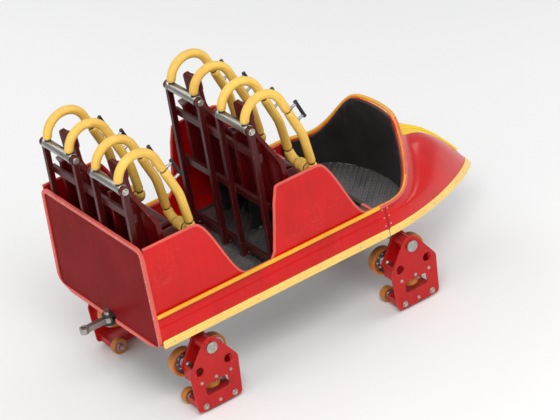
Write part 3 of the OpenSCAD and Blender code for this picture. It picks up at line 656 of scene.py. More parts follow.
def tube_into(bm, points, radius, radii=None, closed=False, index=0, roundness=4):
    """Adds a round tube along points. Radii, if given, are shares of the radius at each point."""
    curve = bpy.data.curves.new("tube_line", "CURVE")
    curve.dimensions = "3D"
    curve.bevel_depth = radius
    curve.bevel_resolution = roundness
    curve.use_fill_caps = not closed
    spline = curve.splines.new("POLY")
    spline.points.add(len(points) - 1)
    spline.use_cyclic_u = closed
    for number, place in enumerate(points):
        spline.points[number].co = (*place, 1)
        spline.points[number].radius = radii[number] if radii else 1.0
    holder = placed("tube_holder", curve)
    pour_mesh(bm, evaluated_mesh(holder), index)
    bpy.data.objects.remove(holder)
    bpy.data.curves.remove(curve)


def mirrored(outline, length=0.0):
    """Half an outline of (radius, height) points, and its other half over the middle of a length."""
    return outline + [(radius, length - height) for radius, height in reversed(outline)]


def spun_into(bm, outline, place, steps=48, index=0):
    """Adds a turned form: an outline of (radius, height) points spun round the place's Z."""
    form = bmesh.new()
    verts = [form.verts.new((radius, 0, height)) for radius, height in outline]
    edges = [form.edges.new(pair) for pair in zip(verts, verts[1:])]
    bmesh.ops.spin(
        form, geom=verts + edges, cent=(0, 0, 0), axis=Z_AXIS, angle=2 * math.pi, steps=steps, use_merge=True
    )
    bmesh.ops.remove_doubles(form, verts=form.verts, dist=WELD)
    bmesh.ops.recalc_face_normals(form, faces=form.faces)
    bmesh.ops.transform(form, matrix=place, verts=form.verts)
    pour_mesh(bm, mesh_of("form", form), index)


def add_block(bm, low, high, edge, index=0, shift=None):
    """Adds a box with rounded edges between two corners. A shift moves each corner along X."""
    form = bmesh.new()
    size = Vector(high) - Vector(low)
    matrix = Matrix.Translation((Vector(high) + Vector(low)) / 2) @ Matrix.Diagonal((*size, 1))
    for vert in bmesh.ops.create_cube(form, size=1.0, matrix=matrix)["verts"]:
        vert.co.x += shift(vert.co) if shift else 0
    bevel(form, form.edges, edge)
    pour_mesh(bm, mesh_of("form", form), index)


# Body shells and trim

RIM_HEIGHT = 0.210
EDGING_RADIUS = 0.0095
GASKET_RADIUS = 0.0026
PANEL_BEAD = 0.008
PANEL_RIM = 0.028
LINER_WALL = 0.005
RAY_STEP = 0.004

# The grab bar, its flanges and the ribbed rubber on it
GRAB_RADIUS = 0.016
FLANGE_DEPTH = 0.010
FLANGE_EDGE = 0.002
FLANGE_SCREWS = 0.022
RUBBER_RADIUS = 0.0195
RUBBER_RUN = 0.3
RUBBER_RIBS = 70
RUBBER_RIPPLE = 0.05

# The rubber strips beside the floor pan, and the bead over the foot well's liner
STRIP_WIDTH = 0.0334
STRIP_INSET = 0.0006
STRIP_LIFT = (0.0003, 0.0042)
STRIP_AHEAD = 0.022
BEAD_RADIUS = 0.01
BEAD_SQUEEZE = 0.003
BEAD_TURN = 87

# Screws of the shells: from the nose's joint, under the rim, and on the panel's rim by shares of its height
SCREW_INSET = 0.022
SCREW_DROPS = (0.03, 0.085, 0.145)
PANEL_SCREWS = (0.16, 0.34, 0.52, 0.70, 0.88)
PANEL_CORNER = 0.14
PANEL_TAPER = 0.020

# Angles of the band's screws round the nose, closer towards the tip, which lies farther off
TIP_SCREWS = (83, 70, 57, 46, 37, 29, 20, 11)

# How squarely a face of the coaming looks away from the cockpit to be in its outer half
OUTER_HALF = 0.15


def band_spot(tree, start, direction, low, high):
    """Middle of the points where level rays between two heights meet the near side, with its normal."""
    hits = []
    for step in range(round((high - low) / RAY_STEP)):
        origin = Vector((start[0], start[1], low + step * RAY_STEP))
        place, normal, _, _ = tree.ray_cast(origin, direction, 2.0)
        if place is not None:
            hits.append((place, normal))
    return hits[len(hits) // 2] if hits else None


def wing_line(node):
    """Upper edge of a side, along the middle of its wall."""
    tops = {}
    for vert in NODES[node].data.vertices:
        key = round(vert.co.x, 4)
        if key not in tops or vert.co.z > tops[key][0].z + WELD:
            tops[key] = [vert.co]
        elif vert.co.z > tops[key][0].z - WELD:
            tops[key].append(vert.co)
    return [sum(tops[key], Vector()) / len(tops[key]) for key in sorted(tops)]


def dress_wing_edging():
    """Rolled edging over the top of both sides and their wings, in salmon: a painted highlight along the
    glossy red edges.
    """
    bm = bmesh.new()
    for name in SIDES:
        tube_into(bm, resampled(wing_line(f"side_{name}"), 0.015), EDGING_RADIUS)
    piece("wing_edging", bm, ROOT, "red_tube", ["salmon_highlight_edging"])


def recolour(made, outer):
    """Gives the edging's salmon, a painted highlight of glossy red edges, to the faces that a test picks."""
    made.data.materials.append(FINISH["salmon_highlight_edging"])
    for face in made.data.polygons:
        if outer(face):
            face.material_index = 1


def dress_coaming():
    """Coaming on the rim, with its outer half round the nose in the edging's salmon, a painted highlight on
    that half.
    """
    split = Vector((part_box("side_left")[1].x, 0, 0))

    def outer(face):
        out = (face.center - split) * Vector((1, 1, 0))
        return out.x > 0 and face.normal.dot(out.normalized()) > OUTER_HALF

    # Outer half in the edging's salmon: a painted highlight
    recolour(smoothed_node("rim_coaming", "orange_trim", crease_over=70), outer)


def dress_panel(edge):
    """Rear panel in its darker red, a painted shade, with its raised rim in the edging's salmon, a painted
    highlight.
    """
    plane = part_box("rear_panel")[0].x + PANEL_BEAD - 0.0005
    made = rounded_node("rear_panel", edge, "dark_red_gelcoat")
    # Rim faces in the edging's salmon: a painted highlight
    recolour(made, lambda face: face.center.x < plane or abs(face.normal.x) < 0.5)


def dress_gaskets():
    """Dark gasket in the joint between the nose and each side."""
    bm = bmesh.new()
    for name, side in SIDES.items():
        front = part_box(f"side_{name}")[1].x
        outer = {}
        for vert in NODES[f"side_{name}"].data.vertices:
            key = round(vert.co.z, 4)
            if front - vert.co.x < WELD and (key not in outer or vert.co.y * side > outer[key].y * side):
                outer[key] = vert.co
        tube_into(bm, [outer[key] for key in sorted(outer)], GASKET_RADIUS, roundness=2)
    piece("joint_gaskets", bm, ROOT, "black_liner", ["black_rubber"])


def dress_seals():
    """Rubber strips that close the slits beside the floor pan and over the foot well's liner."""
    bm = bmesh.new()
    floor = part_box("floor_pan")[1].z
    start, end = (corner.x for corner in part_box("side_left"))
    wall = surface_of("side_left").ray_cast(Vector((0, 0, floor + 0.002)), Y_AXIS)[0].y
    for side in SIDES.values():
        outer = wall - STRIP_INSET
        near, far = sorted((side * (outer - STRIP_WIDTH), side * outer))
        low = (start + 0.003, near, floor + STRIP_LIFT[0])
        add_block(bm, low, (end + STRIP_AHEAD, far, floor + STRIP_LIFT[1]), 0.0012)
    liner, shell = surface_of("foot_well"), surface_of("nose_shell")
    middle = Vector((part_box("foot_well")[0].x, 0, 0))
    points, radii = [], []
    for degrees in range(-BEAD_TURN, BEAD_TURN + 1, 3):
        away = level(degrees)
        inner = liner.ray_cast(middle + Z_AXIS * (floor + 0.03), away)[3] + LINER_WALL
        above = middle + Z_AXIS * 2 + away * (inner - LINER_WALL / 2)
        top = liner.ray_cast(above, -Z_AXIS)[0].z
        outer = shell.ray_cast(middle + Z_AXIS * (top - 0.006), away)[3]
        points.append(middle + Z_AXIS * (top - 0.003) + away * (inner + outer) / 2)
        radii.append(((outer - inner) / 2 + BEAD_SQUEEZE) / BEAD_RADIUS)
    tube_into(bm, points, BEAD_RADIUS, radii)
    piece("floor_seals", bm, ROOT, "black_liner", ["black_rubber"])


def dress_shells(sizes):
    """Nose, sides, panel, trim and liner as smooth moulded pieces."""
    smoothed_node("nose_shell", "red_gelcoat", key="nose_gelcoat")
    smoothed_node("nose_ridge", "yellow_gelcoat")
    dress_coaming()
    smoothed_node("sill_band", "pale_trim", levels=1)
    smoothed_node("foot_well", "black_liner", levels=1)
    for name in SIDES:
        rounded_node(f"side_{name}", sizes.shell_edge, "red_gelcoat")
    rounded_node("floor_pan", sizes.frame_edge, "floor_plate")
    dress_panel(sizes.shell_edge)
    dress_wing_edging()
    dress_gaskets()
    dress_grab_bar(sizes)
    dress_seals()
    dress_band_screws(sizes)
    dress_shell_screws(sizes.screw_size)


def dress_grab_bar(sizes):
    """Bar across the foot well with a rubber grip before each rider."""
    low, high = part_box("grab_bar")
    middle = (low + high) / 2
    flange = (high.z - low.z) / 2
    face = flange - FLANGE_EDGE
    outline = [(0, 0), (face, 0), (flange, FLANGE_EDGE), (flange, FLANGE_DEPTH - FLANGE_EDGE)]
    outline += [(face, FLANGE_DEPTH), (GRAB_RADIUS + 0.0025, FLANGE_DEPTH + 0.0005)]
    outline += [(GRAB_RADIUS + 0.001, 0.018), (GRAB_RADIUS, 0.023)]
    outline = mirrored(outline, high.y - low.y)
    bm = bmesh.new()
    spun_into(bm, outline, facing(Vector((middle.x, low.y, middle.z)), Y_AXIS), steps=40)
    radii = [1 - RUBBER_RIPPLE * (n % 2) for n in range(RUBBER_RIBS + 1)]
    for name, side in SIDES.items():
        rider = sum(corner.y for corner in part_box(f"seat_front_{name}")) / 2
        offs = [RUBBER_RUN * (n / RUBBER_RIBS - 0.5) for n in range(RUBBER_RIBS + 1)]
        ribs = [Vector((middle.x, rider + off, middle.z)) for off in offs]
        tube_into(bm, ribs, RUBBER_RADIUS, radii, index=1, roundness=6)
        inside = Vector((middle.x, side * ((high.y - low.y) / 2 - FLANGE_DEPTH), middle.z))
        for turn in (45, 135, 225, 315):
            spot = inside + level(turn).xzy * FLANGE_SCREWS
            add_head(bm, spot, Y_AXIS * -side, sizes.screw_size * 0.6, 2, SCREW)
    slots = ["red_tube", "black_rubber", "zinc_bolt"]
    piece("grab_bar_finished", bm, ROOT, "red_tube", slots, ["grab_bar"])


def dress_band_screws(sizes):
    """Screws along the pale band and round the nose tip."""
    tree = surface_of("sill_band")
    low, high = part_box("sill_band")
    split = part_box("side_left")[1].x
    rays = []
    for side in SIDES.values():
        count = round((split - low.x) / sizes.screw_pitch)
        for number in range(count):
            start = Vector((low.x + (number + 0.5) * (split - low.x) / count, side * 2, 0))
            rays.append((start, Vector((0, -side, 0))))
        for degrees in TIP_SCREWS:
            away = level(side * degrees)
            rays.append((X_AXIS * split + away * 2, -away))
    bm = bmesh.new()
    for start, direction in rays:
        spot = band_spot(tree, start, direction, low.z, high.z)
        if spot is not None:
            add_head(bm, *spot, sizes.screw_size, 0, SCREW)
    piece("band_screws", bm, ROOT, "machined_steel", ["zinc_bolt"])


def dress_shell_screws(size):
    """Screws beside the joint of the nose and on the rear panel's rim."""
    bm = bmesh.new()
    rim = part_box("floor_pan")[1].z + RIM_HEIGHT
    low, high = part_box("rear_panel")
    middle = PANEL_RIM / 2
    spots = [((number / 3 - 1) * (high.y - PANEL_CORNER), high.z - middle) for number in range(7)]
    for name, side in SIDES.items():
        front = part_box(f"side_{name}")[1].x
        for node, x in ((f"side_{name}", front - SCREW_INSET), ("nose_shell", front + SCREW_INSET)):
            tree = surface_of(node)
            for drop in SCREW_DROPS:
                fasten(bm, tree, (x, side * 2, rim - drop), Vector((0, -side, 0)), size)
        for share in PANEL_SCREWS:
            y = side * (high.y - middle - PANEL_TAPER * share)
            spots.append((y, low.z + share * (high.z - low.z)))
    tree = surface_of("rear_panel")
    for y, z in spots:
        fasten(bm, tree, (low.x - 1, y, z), X_AXIS, size)
    piece("shell_screws", bm, ROOT, "machined_steel", ["zinc_bolt"])


# Seats. The form is the frame's own: its middle line runs from the front lip up to the headrest

LIP_RADIUS = 0.045
CREASE_RADIUS = 0.070
CUSHION_TILT = math.radians(3)
BACK_LEAN = math.radians(4.5)
HEADREST_HEIGHT = 0.80
HEADREST_HALF = 0.09
SHOULDER_HEIGHT = 0.59
PAD_HEIGHT = 0.04
MOULD_THICKNESS = 0.028
MOULD_EDGE = 0.007
BOLSTER_HEIGHT = 0.05
BOLSTER_START = 0.66
BOLSTER_RISE = 0.27
HEADREST_ROUND = 0.045

# Where along the seat a form starts to change, and over what length: in metres from the front lip for the
# bolsters' fronts, and from the shoulders' height for the bolsters' tops and the headrest's neck
BOLSTER_FRONT = (0.04, 0.08)
BOLSTER_TOP = (-0.19, 0.12)
NECK = (-0.11, 0.13)

BACK_THICKNESS = 0.15
RIB_PLACE = 0.12
RIB_HALF = 0.015
FOOT_WALL = 0.012
FOOT_EDGE = 0.003
FOOT_FLANGE = 0.006
FLANGE_OUT = 0.023
FLANGE_HALF = 0.018
SEAT_BOLT = 0.017
SEAT_COLUMNS = 40


def eased(value, start, span):
    """Smooth step from 0 to 1 while a value goes through a span."""
    held = min(1.0, max(0.0, (value - start) / span))
    return held * held * (3 - 2 * held)


def heading(angle):
    """Unit vector in the seat's own plane, forward and up."""
    return Vector((math.cos(angle), math.sin(angle)))


class SeatForm:
    """Surface of a seat: t runs in metres from the front lip to the headrest, u across from -1 to 1."""

    def __init__(self, node):
        low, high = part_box(node)
        self.node = node
        self.low = low
        self.middle = (low.y + high.y) / 2
        self.half = (high.y - low.y) / 2
        self.cushion = high.z - HEADREST_HEIGHT
        self.length = high.x - low.x + 0.005
        self.lip_turn = math.pi / 2 + CUSHION_TILT
        self.lip = Vector((self.length - 0.005 - LIP_RADIUS, -PAD_HEIGHT - LIP_RADIUS))
        self.flat = self.lip + LIP_RADIUS * heading(self.lip_turn)
        crease_x = BACK_THICKNESS - PAD_HEIGHT + CREASE_RADIUS
        reach = (self.flat.x - crease_x) / math.cos(CUSHION_TILT) - CREASE_RADIUS * math.tan(CUSHION_TILT)
        corner = self.flat - reach * heading(CUSHION_TILT)
        self.crease = corner + CREASE_RADIUS * heading(self.lip_turn)
        self.back = self.crease - CREASE_RADIUS * heading(BACK_LEAN)
        self.t_flat = LIP_RADIUS * self.lip_turn
        self.t_crease = self.t_flat + reach
        self.t_back = self.t_crease + CREASE_RADIUS * (self.lip_turn - BACK_LEAN)
        self.t_top = self.t_back + (HEADREST_HEIGHT - self.back.y) / math.cos(BACK_LEAN)
        stops = (0, self.t_flat, self.t_crease, self.t_back, self.t_top)
        spans = zip(stops, stops[1:], (8, 20, 10, 46))
        self.rows = [start + (end - start) * n / count for start, end, count in spans for n in range(count)]
        self.rows.append(self.t_top)

    def turn(self, t):
        """Direction out of the seat, as an angle from forward."""
        if t < self.t_flat:
            return t / LIP_RADIUS
        if t < self.t_crease:
            return self.lip_turn
        if t < self.t_back:
            return self.lip_turn - (t - self.t_crease) / CREASE_RADIUS
        return BACK_LEAN

    def at(self, t):
        """Place on the middle line, forward and up."""
        if t < self.t_flat:
            return self.lip + LIP_RADIUS * heading(self.turn(t))
        if t < self.t_crease:
            return self.flat - (t - self.t_flat) * heading(CUSHION_TILT)
        if t < self.t_back:
            return self.crease - CREASE_RADIUS * heading(self.turn(t))
        return self.back + (t - self.t_back) * heading(math.pi / 2 + BACK_LEAN)

    def width(self, t):
        """Half width, rounded at the lip and the headrest's top and narrowed at the shoulders."""
        height = self.at(t).y
        narrow = eased(height - SHOULDER_HEIGHT, *NECK)
        lip = 1 - 0.05 * max(0.0, 1 - t / self.t_flat) ** 2
        over = max(0.0, (height - HEADREST_HEIGHT + HEADREST_ROUND) / HEADREST_ROUND)
        top = math.sqrt(1 - 0.6 * over ** 2)
        return (self.half * (1 - narrow) + HEADREST_HALF * narrow) * lip * top

    def bolster(self, t, u):
        """Height of the side bolsters over the middle line."""
        edge = (abs(u) - BOLSTER_START) / BOLSTER_RISE
        if edge <= 0:
            return 0.0
        rise = math.sin(math.pi / 2 * edge) if edge < 1 else 1 - 0.24 * (edge - 1) / 0.26
        fade = 1 - eased(self.at(t).y - SHOULDER_HEIGHT, *BOLSTER_TOP)
        return BOLSTER_HEIGHT * rise * eased(t, *BOLSTER_FRONT) * fade

    def point(self, t, u, out):
        """Place in the car, a height out of the middle line."""
        line = self.at(t) + out * heading(self.turn(t))
        return Vector((self.low.x + line.x, self.middle + u * self.width(t), self.cushion + line.y))


def add_skin(bm, form, swell, sink):
    """Adds one skin of a seat, with its share of the bolsters' height, sunk by a depth."""
    rows = len(form.rows) - 1
    verts = bmesh.ops.create_grid(bm, x_segments=SEAT_COLUMNS, y_segments=rows, size=1.0)["verts"]
    for vert in verts:
        u = vert.co.x
        t = form.rows[round((vert.co.y + 1) / 2 * rows)]
        vert.co = form.point(t, u, swell * form.bolster(t, u) - sink)
    if sink:
        bmesh.ops.reverse_faces(bm, faces=list({face for vert in verts for face in vert.link_faces}))
    return [edge for vert in verts for edge in vert.link_edges if edge.is_boundary]


def seat_moulding(form):
    """The rigid bucket of one seat with its ribs, foot and fixing flanges."""
    bm = bmesh.new()
    rims = add_skin(bm, form, 1.0, 0.0) + add_skin(bm, form, 0.8, MOULD_THICKNESS)
    bmesh.ops.bridge_loops(bm, edges=list(set(rims)))
    bmesh.ops.recalc_face_normals(bm, faces=bm.faces)
    bevel(bm, hard_edges(bm, 50), MOULD_EDGE, 3)
    add_foot(bm, form)
    slots = ["maroon_seat", "chassis_steel", "zinc_bolt"]
    piece(form.node + "_moulding", bm, ROOT, "maroon_seat", slots, [form.node], 50.0)


def add_foot(bm, form):
    """Adds the seat's steel foot with bolted flanges, and the ribs behind its back."""
    floor, start, cushion = form.low.z, form.low.x, form.cushion
    rear = start + BACK_THICKNESS - PAD_HEIGHT + CREASE_RADIUS + 0.01
    front = start + form.length - 0.14
    under = cushion + form.flat.y - (start + form.flat.x - rear) * math.tan(CUSHION_TILT) - 0.010
    lean = 0.04 / (under - floor)
    half = form.half * 2 / 3

    def leaned(place):
        return (place.z - floor) * lean if place.x > rear + 0.1 else 0

    def with_back(place):
        return -(place.z - cushion) * math.tan(BACK_LEAN) if place.x > start + 0.03 else 0

    for side in SIDES.values():
        y = form.middle + side * (half - FOOT_WALL / 2)
        low = (rear, y - FOOT_WALL / 2, floor)
        add_block(bm, low, (front, y + FOOT_WALL / 2, under), FOOT_EDGE, 1, leaned)
        y += side * FLANGE_OUT
        high = (front - 0.02, y + FLANGE_HALF, floor + FOOT_FLANGE)
        add_block(bm, (rear + 0.01, y - FLANGE_HALF, floor), high, 0.002, 1)
        for x in (rear + 0.045, (rear + front) / 2, front - 0.055):
            add_head(bm, Vector((x, y, floor + FOOT_FLANGE)), Z_AXIS, SEAT_BOLT, 2)
        y = form.middle + side * RIB_PLACE
        high = (start + form.back.x - MOULD_THICKNESS + 0.006, y + RIB_HALF, cushion + 0.54)
        add_block(bm, (start, y - RIB_HALF, cushion + 0.06), high, FOOT_EDGE, 0, with_back)
    low = (front - FOOT_WALL, form.middle - half, floor)
    add_block(bm, low, (front, form.middle + half, under), FOOT_EDGE, 1, leaned)


# Pads of a seat, swollen by a cloth simulation

PAD_REACH = 0.655
PAD_START = 0.033
VOXEL = 0.009
SWELL_CAP = 0.012
SWELL_FRAMES = 20
CHANNEL_DEPTH = 0.009
CHANNEL_WIDTH = 0.0055
PUCKER_PITCH = 0.023
CREASE_PITCH = 0.037
CREASE_DEPTH = 0.0009
PIPING_RADIUS = 0.0042
HELD_HEIGHT = 0.008
CLOTH = {
    "quality": 6,
    "mass": 0.35,
    "tension_stiffness": 22,
    "compression_stiffness": 22,
    "shear_stiffness": 12,
    "bending_stiffness": 1.2,
    "vertex_group_mass": "held",
    "use_pressure": True,
    "uniform_pressure_force": 4.0,
}


def pad_list(form):
    """Name, start, end and sewn channels of each pad, in metres along the seat."""
    flat, back, top = form.t_flat, form.t_back, form.t_top
    return (
        ("cushion", flat + 0.016, form.t_crease - 0.012, (flat + 0.12, flat + 0.225)),
        ("back", back + 0.012, back + 0.556, (back + 0.12, back + 0.225, back + 0.33, back + 0.435)),
        ("head", top - 0.133, top - 0.020, ()),
    )


def pad_block(form, low, high):
    """Starting form of a pad: a crowned block that stands on the seat."""
    bm = bmesh.new()
    bmesh.ops.create_cube(bm, size=2.0)
    bmesh.ops.subdivide_edges(bm, edges=bm.edges, cuts=23, use_grid_fill=True)
    for vert in bm.verts:
        a, b, c = vert.co
        share = (c + 1) / 2
        t = (low + high) / 2 + (high - low) / 2 * b * (1 - 0.02 * share)
        crown = (1 - 0.5 * abs(a) ** 6) * (1 - 0.5 * abs(b) ** 8)
        u = a * PAD_REACH * (1 - 0.05 * share * share)
        vert.co = form.point(t, u, 0.002 + PAD_START * crown * share)
    bmesh.ops.recalc_face_normals(bm, faces=bm.faces)
    return bm


def swollen(name, bm, held):
    """Mesh of a block that is remeshed evenly and swollen by air pressure; its held points stay put."""
    made = placed(name, mesh_of(name, bm))
    remesh = made.modifiers.new("even", "REMESH")
    remesh.mode = "VOXEL"
    remesh.voxel_size = VOXEL
    made.data = evaluated_mesh(made)
    made.modifiers.remove(remesh)
    made.data = pressed(made, held)
    made.modifiers.clear()
    subdivide(made, 1)
    result = evaluated_mesh(made)
    bpy.data.objects.remove(made)
    return result


def pressed(made, held):
    """Result of the cloth simulation on a pad, with its travel capped."""
    group = made.vertex_groups.new(name="held")
    for vert in made.data.vertices:
        group.add([vert.index], held(vert.co), "REPLACE")
    cloth = made.modifiers.new("swell", "CLOTH")
    for name, value in CLOTH.items():
        setattr(cloth.settings, name, value)
    cloth.settings.effector_weights.gravity = 0
    cloth.collision_settings.use_collision = False
    scene = bpy.context.scene
    for number in range(1, SWELL_FRAMES + 1):
        scene.frame_set(number)
    mesh = evaluated_mesh(made)
    for old, new in zip(made.data.vertices, mesh.vertices):
        travel = new.co - old.co
        if travel.length > SWELL_CAP:
            new.co = old.co + travel * (SWELL_CAP / travel.length)
    scene.frame_set(1)
    return mesh


class SeatLine:
    """Finds how far along a seat's middle line a point lies, and how far out of it."""

    def __init__(self, form, count=260):
        self.form = form
        self.stations = [form.t_top * number / count for number in range(count + 1)]
        self.tree = KDTree(count + 1)
        for number, t in enumerate(self.stations):
            self.tree.insert(form.at(t).to_3d(), number)
        self.tree.balance()

    def find(self, place):
        """Distance along, height out, and the direction out, of a point of the seat."""
        flat = Vector((place.x - self.form.low.x, place.z - self.form.cushion))
        t = self.stations[self.tree.find(flat.to_3d())[1]]
        out = heading(self.form.turn(t))
        off = flat - self.form.at(t)
        return t + Vector((-out.y, out.x)).dot(off), out.dot(off), Vector((out.x, 0, out.y))


def sew(mesh, line, channels):
    """Presses the sewn channels into a swollen pad, with puckers and faint creases along them."""
    for vert in mesh.vertices:
        t, height, out = line.find(vert.co)
        share = min(1.0, (height - PAD_START * 0.4) / (PAD_START * 0.3))
        if share <= 0:
            continue
        sink = 0.0
        turn = vert.co.y * 2 * math.pi
        for channel in channels:
            gap = (t - channel) / CHANNEL_WIDTH
            pucker = 1 + 0.2 * math.sin(turn / PUCKER_PITCH)
            sink += CHANNEL_DEPTH * math.exp(-gap * gap) * pucker
            sink += CREASE_DEPTH * math.sin(turn / CREASE_PITCH) * math.exp(-gap * gap / 12)
        vert.co -= out * sink * share


def piping_points(form, low, high):
    """Points round the foot of a pad."""
    steps = 26
    ramp = [2 * number / steps - 1 for number in range(steps)]
    corners = [(-1, b) for b in ramp] + [(a, 1) for a in ramp]
    corners += [(1, -b) for b in ramp] + [(-a, -1) for a in ramp]
    middle, half = (low + high) / 2, (high - low) / 2 + 0.001
    return [form.point(middle + half * b, a * PAD_REACH * 1.01, 0.003) for a, b in corners]


def dress_seats():
    """Four moulded seats with sewn vinyl pads. Each kind of pad is swollen once and repeated."""
    first = SeatForm("seat_rear_right")
    line = SeatLine(first)
    pads = []

    def held(place):
        return 1.0 if line.find(place)[1] < HELD_HEIGHT else 0.0

    for name, low, high, channels in pad_list(first):
        mesh = swollen("pad_" + name, pad_block(first, low, high), held)
        sew(mesh, line, channels)
        pads.append((name, low, high, mesh))
    for row, side in CORNERS:
        form = SeatForm(f"seat_{row}_{side}")
        seat_moulding(form)
        shift = Vector((form.low.x - first.low.x, form.middle - first.middle, 0))
        trim = bmesh.new()
        for name, low, high, mesh in pads:
            bm = bmesh.new()
            bm.from_mesh(mesh)
            bmesh.ops.translate(bm, vec=shift, verts=bm.verts)
            made = piece(f"{form.node}_{name}_pad", bm, ROOT, "maroon_seat", ["seat_vinyl"], sharp=80.0)
            tube_into(trim, piping_points(form, low, high), PIPING_RADIUS, closed=True, roundness=2)
        piece(form.node + "_piping", trim, ROOT, "maroon_seat", ["black_rubber"])


# Restraints

BAR_SPACING = 0.27
ARCH_RADIUS = 0.15
ARCH_TURN = 158
CHEST_RUN = 0.3
KNEE_RADIUS = 0.3
KNEE_TURN = 14
LAP_RUN = 0.2
CORNER_RADIUS = 0.075
RISER = 0.03
GRIP_PLACE = 0.56
GRIP_HALF = 0.075
GRIP_OUT = 0.082
GRIP_RADIUS = 0.0132
GRIP_RIBS = 52
GRIP_RIPPLE = 0.06
GRIP_LIP = (0.9, 1.08, 1.08)
STUB_RADIUS = 0.0098
STUB_INSET = 0.02
STUB_COLLAR = 0.015
COLLAR_RUN = (0.028, 0.0335, 0.036)
BELLY_HALF = 0.048
BELLY_PAD = 0.0455
BELLY_COLLAR = 0.0375
HUB_RADIUS = 0.036
HUB_BORE = 0.016
HUB_EDGE = 0.002
HUB_COLLAR = 0.016
HUB_STEP = 0.003
SEAM_RADIUS = 0.0016

# Stretches of the bar that carry foam, as shares of its length
SLEEVES = ((0.016, 0.232), (0.236, 0.421))
BELLY_SLEEVE = (0.426, 0.574)


def restraint_line(hinge):
    """Middle line of the whole bent bar, from one hub up, over, down, across and back."""
    lean = math.radians(ARCH_TURN + KNEE_TURN)
    corner = (CORNER_RADIUS, 90, Vector((-math.cos(lean), 0, math.sin(lean))))

    def half(way):
        arch, knee = (ARCH_RADIUS, way * ARCH_TURN, Y_AXIS), (KNEE_RADIUS, way * KNEE_TURN, Y_AXIS)
        return [RISER, arch, CHEST_RUN, knee, LAP_RUN]

    moves = half(1) + [corner, BAR_SPACING - 2 * CORNER_RADIUS, corner] + half(-1)[::-1]
    return resampled(travelled(hinge - Y_AXIS * BAR_SPACING / 2, Z_AXIS, moves), 0.01)


def stretch_of(line, low, high):
    """The part of a line between two shares of its length."""
    last = len(line) - 1
    return line[round(low * last) : round(high * last) + 1]


def sleeve_into(bm, points, radius, end=0.016, nip=0.76):
    """Adds a foam sleeve with softly rounded ends."""
    step = (points[1] - points[0]).length
    last = len(points) - 1
    radii = []
    for number in range(last + 1):
        share = min(1.0, min(number, last - number) * step / end)
        radii.append(nip + (1 - nip) * math.sqrt(1 - (1 - share) ** 2))
    tube_into(bm, points, radius, radii, roundness=9)


def add_hub(bm, barrel, length):
    """Adds the hinge barrel with its collars."""
    outline = [(HUB_BORE, 0), (HUB_RADIUS - HUB_EDGE, 0), (HUB_RADIUS, HUB_EDGE), (HUB_RADIUS, HUB_COLLAR)]
    outline = mirrored(outline + [(HUB_RADIUS - HUB_STEP, HUB_COLLAR + HUB_STEP)], length)
    spun_into(bm, outline + outline[:1], barrel, steps=40, index=1)


def add_grip(bm, hinge, side):
    """Adds a handle in front of the chest: two stubs and a ribbed rubber sleeve."""
    turn = math.radians(ARCH_TURN)
    ahead = Vector((math.sin(turn), 0, math.cos(turn)))
    away = Vector((-math.cos(turn), 0, math.sin(turn)))
    start = hinge + Vector((ARCH_RADIUS * (1 - ahead.z), 0, RISER + ARCH_RADIUS * ahead.x))
    start.y += side * BAR_SPACING / 2
    middle = start + ahead * CHEST_RUN * GRIP_PLACE
    for step in (-1, 1):
        foot = middle + ahead * step * (GRIP_HALF - STUB_INSET)
        tube_into(bm, [foot, foot + away * GRIP_OUT], STUB_RADIUS, index=1)
        collar = [foot + away * reach for reach in COLLAR_RUN]
        tube_into(bm, collar, STUB_COLLAR, [1.0, 1.0, 0.8], index=1, roundness=5)
    places = [2 * n / GRIP_RIBS - 1 for n in range(GRIP_RIBS + 1)]
    ribs = [middle + away * GRIP_OUT + ahead * GRIP_HALF * place for place in places]
    swell = [0.97 - GRIP_RIPPLE * (n % 2) for n in range(GRIP_RIBS + 1)]
    swell[:3] = GRIP_LIP
    swell[-3:] = GRIP_LIP[::-1]
    tube_into(bm, ribs, GRIP_RADIUS, swell, index=2, roundness=6)


def add_belly_pad(bm, line):
    """Adds the thicker pad on the middle of the belly bar, between two rubber collars."""
    last = len(line) - 1
    middle = (line[last // 2] + line[last - last // 2]) / 2
    steps = 24
    places = [2 * number / steps - 1 for number in range(steps + 1)]
    radii = [0.8 + 0.2 * math.sqrt(1 - abs(place) ** 6) for place in places]
    spine = [middle + Y_AXIS * BELLY_HALF * place for place in places]
    tube_into(bm, spine, BELLY_PAD, radii, roundness=10)
    for side in SIDES.values():
        collar = [middle + Y_AXIS * side * (BELLY_HALF + reach) for reach in (0.0, 0.002, 0.006, 0.008)]
        tube_into(bm, collar, BELLY_COLLAR, [0.94, 1.0, 1.0, 0.94], index=1, roundness=8)


def dress_restraint(row, side, sizes):
    """One over-shoulder restraint: steel bar, foam sleeves with seams, belly pad, hub and grips."""
    node = f"restraint_{row}_{side}"
    hinge = JOINT_PLACES[node + "_hinge"]
    line = restraint_line(hinge)
    low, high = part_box(node)
    width = high.y - low.y
    bar = bmesh.new()
    tube_into(bar, line, sizes.bar_radius, roundness=5)
    add_hub(bar, facing(hinge - Y_AXIS * width / 2, Y_AXIS), width)
    foam = bmesh.new()
    for hand in SIDES.values():
        add_grip(bar, hinge, hand)
    slots = ["chassis_steel", "machined_steel", "black_rubber"]
    piece(node + "_bar", bar, node, "chassis_steel", slots, [node])
    for first, last in SLEEVES:
        for points in (stretch_of(line, first, last), stretch_of(line, 1 - last, 1 - first)):
            sleeve_into(foam, points, sizes.padding_radius)
            for hand in SIDES.values():
                seam = [place + Y_AXIS * hand * sizes.padding_radius for place in points[3:-3]]
                tube_into(foam, seam, SEAM_RADIUS, roundness=1)
    made = piece(node + "_foam", foam, node, "yellow_padding", sharp=60.0)
    belly = bmesh.new()
    sleeve_into(belly, stretch_of(line, *BELLY_SLEEVE), sizes.belly_radius, end=0.02)
    add_belly_pad(belly, line)
    slots = ["yellow_padding", "black_rubber"]
    made = piece(node + "_belly_pad", belly, node, "yellow_padding", slots, sharp=60.0)


